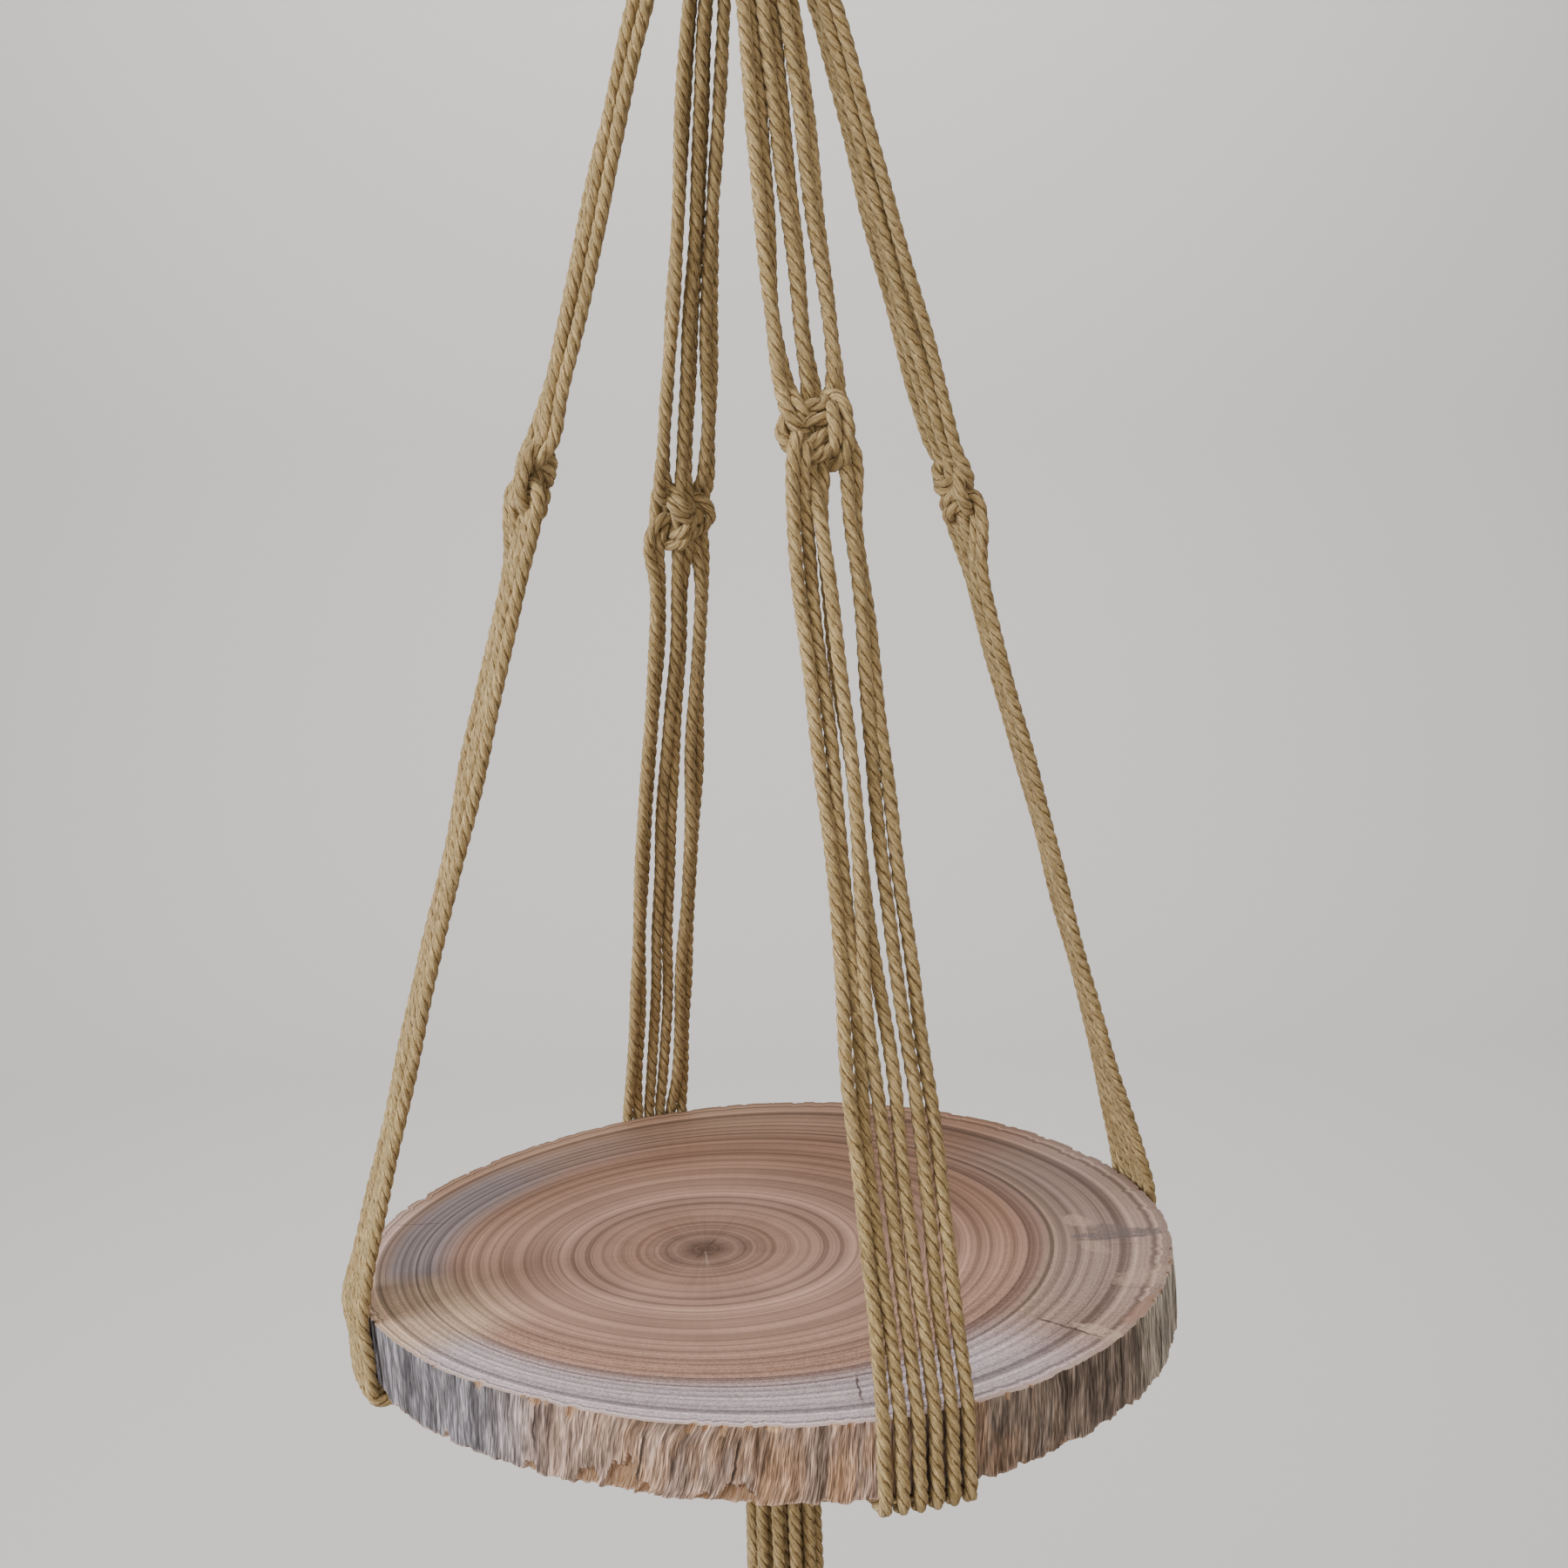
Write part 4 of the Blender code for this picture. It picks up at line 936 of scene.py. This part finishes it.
def smooth_route(points, steps):
    """A centripetal Catmull-Rom curve through the points, with steps to each span."""
    points = np.asarray(points, dtype=float)
    held = np.vstack([2 * points[0] - points[1], points, 2 * points[-1] - points[-2]])
    spans = np.linalg.norm(np.diff(held, axis=0), axis=1)
    knots = np.concatenate([[0.0], np.cumsum(np.sqrt(spans))])
    curve = []
    for i in range(1, len(held) - 2):
        before, start, end, after = held[i - 1 : i + 3]
        t0, t1, t2, t3 = knots[i - 1 : i + 3]
        t = np.linspace(t1, t2, steps, endpoint=False)[:, None]
        a1 = (t1 - t) / (t1 - t0) * before + (t - t0) / (t1 - t0) * start
        a2 = (t2 - t) / (t2 - t1) * start + (t - t1) / (t2 - t1) * end
        a3 = (t3 - t) / (t3 - t2) * end + (t - t2) / (t3 - t2) * after
        b1 = (t2 - t) / (t2 - t0) * a1 + (t - t0) / (t2 - t0) * a2
        b2 = (t3 - t) / (t3 - t1) * a2 + (t - t1) / (t3 - t1) * a3
        curve.append((t2 - t) / (t2 - t1) * b1 + (t - t1) / (t2 - t1) * b2)
    return np.vstack(curve + [points[-1:]])


def even_route(curve, count):
    """The same route cut into equal lengths, read off against the length run so far."""
    run = np.concatenate([[0.0], np.cumsum(np.linalg.norm(np.diff(curve, axis=0), axis=1))])
    marks = np.linspace(0.0, run[-1], count)
    return np.stack([np.interp(marks, run, curve[:, k]) for k in range(3)], axis=1)


LAY = 0.0165
SECTION_STEP = 0.00125
CURVE_STEPS = 24
PLY_RADIUS = 0.00170
PLY_OFFSET = 0.00080
PLY_ANGLES = np.radians([-60.0, -36.0, -12.0, 12.0, 36.0])
UNEVEN_YARN = 0.05
YARN_TURN = 0.40


def side_directions(paths):
    """Two directions square to each path that don't spin round it: each is the one before,
    less its part along the new heading, brought back to unit length."""
    headings = np.gradient(paths, axis=1)
    headings /= np.linalg.norm(headings, axis=2, keepdims=True)
    side = np.cross(headings[:, 0], (0.31, 0.87, 0.21))
    sides = np.empty_like(paths)
    for step in range(paths.shape[1]):
        heading = headings[:, step]
        side = side - (side * heading).sum(axis=1, keepdims=True) * heading
        side /= np.linalg.norm(side, axis=1, keepdims=True)
        sides[:, step] = side
    return sides, np.cross(headings, sides)


def twisted_cords(name, paths, seed, opened=None):
    """Three-ply cords along even paths. The outline round a path is three circles, one a ply:
    offset * cos(a) + sqrt(radius^2 - (offset * sin(a))^2), with a counted from the ply's middle.
    It turns backwards once a lay, and is a little uneven, as soft yarn is. The plies stand off
    further where opened is above zero."""
    random = np.random.default_rng(seed)
    cords, sections, _ = paths.shape
    steps = np.linalg.norm(np.diff(paths, axis=1), axis=2)
    run = np.concatenate([np.zeros((cords, 1)), np.cumsum(steps, axis=1)], axis=1)
    opened = np.zeros((cords, sections)) if opened is None else opened
    offset = (PLY_OFFSET * (1 + opened))[:, :, None]
    angle = np.tile(PLY_ANGLES, 3)
    around = np.repeat(np.radians([0.0, 120.0, 240.0]), len(PLY_ANGLES)) + angle
    outline = offset * np.cos(angle) + np.sqrt(PLY_RADIUS**2 - (offset * np.sin(angle)) ** 2)
    outline *= 1 + UNEVEN_YARN * (random.random((cords, sections, len(angle))) - 0.5)
    turn = -2 * np.pi * run / LAY + random.random((cords, 1)) * 2 * np.pi
    facing = turn[:, :, None] + around
    side, other = side_directions(paths)
    points = paths[:, :, None] + outline[..., None] * (
        np.cos(facing)[..., None] * side[:, :, None] + np.sin(facing)[..., None] * other[:, :, None]
    )
    yarn = around + YARN_TURN * turn[:, :, None]
    lay = np.stack([
        outline * np.cos(yarn) * 1000,
        outline * np.sin(yarn) * 1000,
        np.repeat((run * 1000 + 700 * np.arange(cords)[:, None])[:, :, None], len(angle), axis=2),
    ], axis=3)
    per_cord = sections * len(angle)
    tube = grid_faces(sections, len(angle))[:, ::-1]
    faces = (np.arange(cords)[:, None, None] * per_cord + tube[None]).reshape(-1, 4)
    rim = np.arange(len(angle))
    after = (rim + 1) % len(angle)
    first = np.arange(cords)[:, None] * per_cord
    starts = cords * per_cord + np.arange(cords)[:, None] + 0 * rim
    start_fan = np.stack([starts, first + after, first + rim], axis=2).reshape(-1, 3)
    last = first + per_cord - len(angle)
    end_fan = np.stack([starts + cords, last + rim, last + after], axis=2).reshape(-1, 3)
    everything = np.vstack([points.reshape(-1, 3), paths[:, 0], paths[:, -1]])
    data = bpy.data.meshes.new(name)
    data.from_pydata(everything, [], faces.tolist() + start_fan.tolist() + end_fan.tolist())
    set_attribute(data, "lay", np.vstack([lay.reshape(-1, 3), np.tile([0, 0, 5.0], (2 * cords, 1))]))
    data.shade_smooth()
    data.set_sharp_from_angle(angle=math.radians(50))
    data.materials.append(cotton)
    piece = bpy.data.objects.new(name, data)
    bpy.context.scene.collection.objects.link(piece)
    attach(piece, "root")
    return piece


# Cotton: pale khaki yarn in soft streaks, with painted shade in the thin grooves between the plies
cotton, tree, shader = new_material("twisted cotton cord", 0.95)
lay_place = add_node(tree, "Attribute", {}, attribute_name="lay").outputs["Vector"]
flat = stretch(tree, lay_place, (1.0, 1.0, 0.0))
reach = add_node(tree, "VectorMath", {0: flat}, operation="LENGTH").outputs["Value"]
yarn_limits = (0.34, 0.66, 0.62, 1.30)
yarns, yarn_shade = streaks(tree, lay_place, (1.0, 1.0, 0.10), yarn_limits, 1.0, 0.6, 2.9)
strand_limits = (0.32, 0.68, 0.0, 1.0)
strands, pale_strands = streaks(
    tree, lay_place, (1.0, 1.0, 0.20), strand_limits, 1.0, 0.5, 0.9, (0, 0, 50),
)
_, tone = streaks(tree, lay_place, (0.05, 0.05, 0.030), (0.30, 0.70, 0.90, 1.10))
khaki, pale_khaki = (0.305, 0.209, 0.090, 1), (0.425, 0.307, 0.154, 1)
colour = blend_colours(tree, pale_strands, khaki, pale_khaki)
colour = scaled(tree, colour, yarn_shade)
colour = scaled(tree, colour, tone)
groove_edge = calculate(tree, "MULTIPLY_ADD", calculate(tree, "SUBTRACT", yarns, 0.5), 0.30, reach)
groove_shade = map_range(tree, groove_edge, 2.07, 1.96)
# painted shade: dark brown in the grooves between the plies
colour = blend_colours(tree, product(tree, groove_shade, 0.85), colour, (0.100, 0.055, 0.020, 1))
tree.links.new(colour, shader.inputs["Base Color"])
yarn_height = calculate(tree, "MULTIPLY_ADD", strands, 0.8, yarns)
bump = add_node(tree, "Bump", {"Strength": 0.9, "Distance": 0.00045, "Height": yarn_height})
tree.links.new(bump.outputs[0], shader.inputs["Normal"])
shader.inputs["Specular IOR Level"].default_value = 0.10
shader.inputs["Sheen Weight"].default_value = 0.08
shader.inputs["Sheen Roughness"].default_value = 0.55


def slack(paths, knot_height, seed):
    """Each cord strays by a few slow waves of its own, of 50 to 160 mm, less than 0.5 mm wide,
    that die out at the knot, the rim and the wraps."""
    random = np.random.default_rng(seed)
    height = paths[:, :, 2] - SHELF_TOP
    free = step_between(0.004, 0.050, height)
    free = free * step_between(GATHER_HEIGHT - 0.01, GATHER_HEIGHT - 0.07, height)
    free *= step_between(0.017, 0.045, np.abs(height - knot_height))
    strayed = paths.copy()
    for direction in range(2):
        for length in (0.16, 0.090, 0.052):
            phase = random.random((len(paths), 1)) * 2 * np.pi
            wave = np.sin(2 * np.pi * height / length + phase) * length * 0.0032
            strayed[:, :, direction] += wave * free
    return strayed


for name, degrees, knot_height, knot_turn, rim_pitch in ARMS:
    bearing = math.radians(degrees)
    out_way = np.array([math.cos(bearing), math.sin(bearing), 0.0])
    across_way = np.array([-math.sin(bearing), math.cos(bearing), 0.0])
    routes = []
    for index in range(CORDS_PER_ARM):
        low_part = under_route(bearing, index, rim_pitch)
        high_part = over_route(name, bearing, index, knot_height, knot_turn)
        routes.append(smooth_route(low_part + high_part, CURVE_STEPS))
    length = max(np.linalg.norm(np.diff(curve, axis=0), axis=1).sum() for curve in routes)
    count = int(round(length / SECTION_STEP))
    local = np.stack([even_route(curve, count) for curve in routes])
    paths = local[..., :1] * out_way + local[..., 1:2] * across_way
    paths[..., 2] = local[..., 2] + SHELF_TOP
    arm = twisted_cords(f"arm_{name}", slack(paths, knot_height, 31 + len(name)), 41 + len(name))
    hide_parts(f"sling_{name}")


# The two gathering wraps
# A length of the same cord wound tightly round all the others, nine turns above the arms and
# eight under the wood, with both its ends drawn in under the turns.

WRAP_RADIUS = BUNDLE_RADIUS + CORD_DIAMETER * 0.44
WRAP_START = 0.7
DRAWN_IN = 0.0045


def wound_route(top, turns):
    """A screw line down the bundle: one turn a pitch, its radius drawn in at both ends."""
    count = int(round(2 * np.pi * WRAP_RADIUS * (turns - 1) / SECTION_STEP))
    way = np.linspace(0.0, 1.0, count)
    bearing = 2 * np.pi * (turns - 1) * way + WRAP_START
    ends = step_between(0.10, 0.0, way * (turns - 1))
    ends += step_between(0.10, 0.0, (1 - way) * (turns - 1))
    radius = WRAP_RADIUS - DRAWN_IN * ends + 0.0002 * np.sin(3.1 * bearing)
    height = top - WRAP_PITCH / 2 - WRAP_PITCH * (turns - 1) * way
    return np.stack([radius * np.cos(bearing), radius * np.sin(bearing), height], axis=1)[None]


for node, top, wrap_turns, seed in (
    # CAD node, height of its top, number of turns, seed of its unevenness
    ("top_wrap", TOP_WRAP_TOP, TOP_WRAP_TURNS, 61),
    ("bottom_wrap", BOTTOM_WRAP_TOP, BOTTOM_WRAP_TURNS, 62),
):
    wrap = twisted_cords(f"wound_{node}", wound_route(top, wrap_turns), seed)
    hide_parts(node)


# The hanging loop
# Twelve cords folded over together above the upper wrap, nine round three, which is where the
# shelf is hung. The wrap alone keeps them together.

LOOP_ROPE_RADIUS = 0.0092
LOOP_HALF_WIDTH = 0.0200
LOOP_FOOT = 0.0082
LOOP_FOOT_SCALE = 0.80
LOOP_TWIST = 1.1
LOOP_RINGS = (
    # radius of the ring of cords, number of cords in it
    (LOOP_ROPE_RADIUS - CORD_DIAMETER * 0.49, 9),
    (0.0026, 3),
)
arch_centre = LOOP_ROPE_RADIUS - LOOP_HALF_WIDTH
leg = [
    (-LOOP_FOOT, 0.0, -LOOP_DROP - TUCKED_INTO_WRAP),
    (-LOOP_FOOT, 0.0, -LOOP_DROP + SEAT_GAP),
    (-LOOP_FOOT, 0.0, -LOOP_DROP + 0.0070),
    (-LOOP_FOOT - 0.0040, 0.0, -LOOP_DROP + 0.0170),
    (-LOOP_HALF_WIDTH + 0.0035, 0.0, -LOOP_DROP + 0.0290),
]
arch = [
    (-LOOP_HALF_WIDTH * math.cos(turn), 0.0, arch_centre + LOOP_HALF_WIDTH * math.sin(turn))
    for turn in np.radians(np.arange(0.0, 181.0, 22.5))
]
line = smooth_route(leg + arch + [(-x, y, z) for x, y, z in reversed(leg)], 16)
line_length = np.linalg.norm(np.diff(line, axis=0), axis=1).sum()
line = even_route(line, int(round(line_length / SECTION_STEP)))
rope_side, rope_other = side_directions(line[None])
above_foot = line[:, 2] + LOOP_DROP
squeeze = LOOP_FOOT_SCALE + (1 - LOOP_FOOT_SCALE) * step_between(0.004, 0.030, above_foot)
drift = np.linspace(-0.5, 0.5, len(line))
loop_paths = []
for ring, number in LOOP_RINGS:
    for index in range(number):
        turn = (2 * math.pi * index / number + drift * LOOP_TWIST)[:, None]
        reach = ring * squeeze[:, None]
        loop_paths.append(line + reach * (np.cos(turn) * rope_side[0] + np.sin(turn) * rope_other[0]))
loop = twisted_cords("folded_loop", np.stack(loop_paths), 71)
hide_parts("hanging_loop")


# The tail
# The loose ends of all twenty-four cords below the lower wrap, hanging free and cut level,
# their plies a little opened at the cut.

TAIL_END = BOTTOM_WRAP_BOTTOM - SEAT_GAP - TAIL_LENGTH
TAIL_FLARE = 0.20
CUT_UNEVEN = 0.004
tail_random = np.random.default_rng(81)
tail_steps = int(round((TAIL_LENGTH + TUCKED_INTO_WRAP) / SECTION_STEP))
tail_paths = []
for _, degrees, *_ in ARMS:
    for ring, place, _ in BUNDLE_UNDER:
        bearing = math.radians(degrees + place)
        end = TAIL_END + CUT_UNEVEN * tail_random.random()
        height = np.linspace(BOTTOM_WRAP_BOTTOM + TUCKED_INTO_WRAP, end, tail_steps)
        way = np.clip((BOTTOM_WRAP_BOTTOM - height) / TAIL_LENGTH, 0.0, 1.0)
        radius = ring * (1 + TAIL_FLARE * way)
        sway = 0.0014 * np.sin(np.pi * way + tail_random.random() * 2) * way
        turn = bearing + 0.12 * way * (tail_random.random() - 0.5)
        tail_paths.append(np.stack([
            radius * np.cos(turn) - sway * math.sin(bearing),
            radius * np.sin(turn) + sway * math.cos(bearing),
            height,
        ], axis=1))
tail_paths = np.stack(tail_paths)
cut = step_between(TAIL_END + 0.012, TAIL_END, tail_paths[:, :, 2])
tail = twisted_cords("loose_tail", tail_paths, 82, opened=0.28 * cut)
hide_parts("tail")


# Studio, light and camera
# A plain pale sheet that runs on from the floor up into a backdrop well behind the shelf, one
# broad window light from the left, weaker warm light from in front and from the right, a soft
# lamp overhead, and one for the backdrop.

SHEET_FLOOR = -1.60
SHEET_TOP = 6.0
SHEET_NEAR = -14.0
SHEET_BEND_STARTS = 3.0
SHEET_BEND = 1.0
SHEET_HALF_WIDTH = 14.0
sheet_ahead = np.array([0.3127, 0.9498])
sheet_aside = np.array([0.9498, -0.3127])
bend_turns = np.radians(np.linspace(-90.0, 0.0, 25))
bend_far = SHEET_BEND_STARTS + SHEET_BEND * np.cos(bend_turns)
bend_height = SHEET_FLOOR + SHEET_BEND * (1 + np.sin(bend_turns))
sheet_far = np.concatenate([[SHEET_NEAR], bend_far, bend_far[-1:]])
sheet_height = np.concatenate([[SHEET_FLOOR], bend_height, [SHEET_TOP]])
sheet_points = []
for side in (-SHEET_HALF_WIDTH, SHEET_HALF_WIDTH):
    flat_place = sheet_far[:, None] * sheet_ahead + side * sheet_aside
    sheet_points.append(np.column_stack([flat_place, sheet_height]))
first = np.arange(len(sheet_far) - 1)
sheet_faces = np.stack([first, first + len(sheet_far), first + len(sheet_far) + 1, first + 1], axis=1)
sheet_data = bpy.data.meshes.new("studio_sheet")
sheet_data.from_pydata(np.vstack(sheet_points), [], sheet_faces.tolist())
sheet_data.shade_smooth()
sheet_finish, tree, shader = new_material("pale sheet", 1.0)
shader.inputs["Base Color"].default_value = (0.600, 0.590, 0.580, 1)
shader.inputs["Specular IOR Level"].default_value = 0.0
sheet_data.materials.append(sheet_finish)
sheet = bpy.data.objects.new("studio_sheet", sheet_data)
bpy.context.scene.collection.objects.link(sheet)
sheet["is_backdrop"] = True

world = bpy.data.worlds.new("pale studio")
world.use_nodes = True
world.node_tree.nodes["Background"].inputs["Color"].default_value = (1.00, 0.94, 0.87, 1)
world.node_tree.nodes["Background"].inputs["Strength"].default_value = 0.39
bpy.context.scene.world = world

for name, place, aim, size, power, tint in (
    # name, place and aim in metres, width in metres, power in watts, colour
    ("window", (-2.60, -0.45, 0.60), (0.0, 0.0, -0.50), 1.6, 124.0, (0.96, 0.985, 1.0)),
    ("front", (-0.7, -2.4, 0.20), (0.0, 0.0, -0.55), 2.0, 25.0, (1.0, 0.94, 0.86)),
    ("fill", (1.8, -1.6, -0.2), (0.0, 0.0, -0.50), 1.8, 5.0, (1.0, 0.90, 0.78)),
    ("overhead", (0.1, -0.2, 1.5), (0.0, 0.0, -0.50), 1.6, 12.0, (1.0, 0.98, 0.96)),
    ("backdrop", (0.55, 1.65, 1.60), (1.25, 3.8, -0.20), 2.4, 112.0, (1.0, 0.98, 0.96)),
):
    lamp = bpy.data.lights.new(name, "AREA")
    lamp.size = size
    lamp.energy = power
    lamp.color = tint
    light = bpy.data.objects.new(name, lamp)
    light.location = place
    light.rotation_euler = (Vector(aim) - Vector(place)).to_track_quat("-Z", "Y").to_euler()
    bpy.context.scene.collection.objects.link(light)

CAMERA_PLACE = (-0.2589, -0.8139, SHELF_TOP + 0.3639)
CAMERA_TURNS = (18.225, 12.160, -1.703)
SENSOR_WIDTH = 36.0
LENS = 54.376
camera_data = bpy.data.cameras.new("camera")
camera_data.sensor_width = SENSOR_WIDTH
camera_data.lens = LENS
camera_data.clip_start = 0.02
camera = bpy.data.objects.new("camera", camera_data)
yaw, pitch, roll = np.radians(CAMERA_TURNS)
ahead = np.array([math.sin(yaw) * math.cos(pitch), math.cos(yaw) * math.cos(pitch), -math.sin(pitch)])
level = np.array([math.cos(yaw), -math.sin(yaw), 0.0])
upright = np.cross(level, ahead)
right = math.cos(roll) * level + math.sin(roll) * upright
up = -math.sin(roll) * level + math.cos(roll) * upright
turn = Matrix(np.stack([right, up, -ahead], axis=1).tolist()).to_4x4()
camera.matrix_world = Matrix.Translation(CAMERA_PLACE) @ turn
bpy.context.scene.collection.objects.link(camera)
bpy.context.scene.camera = camera

low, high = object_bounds()
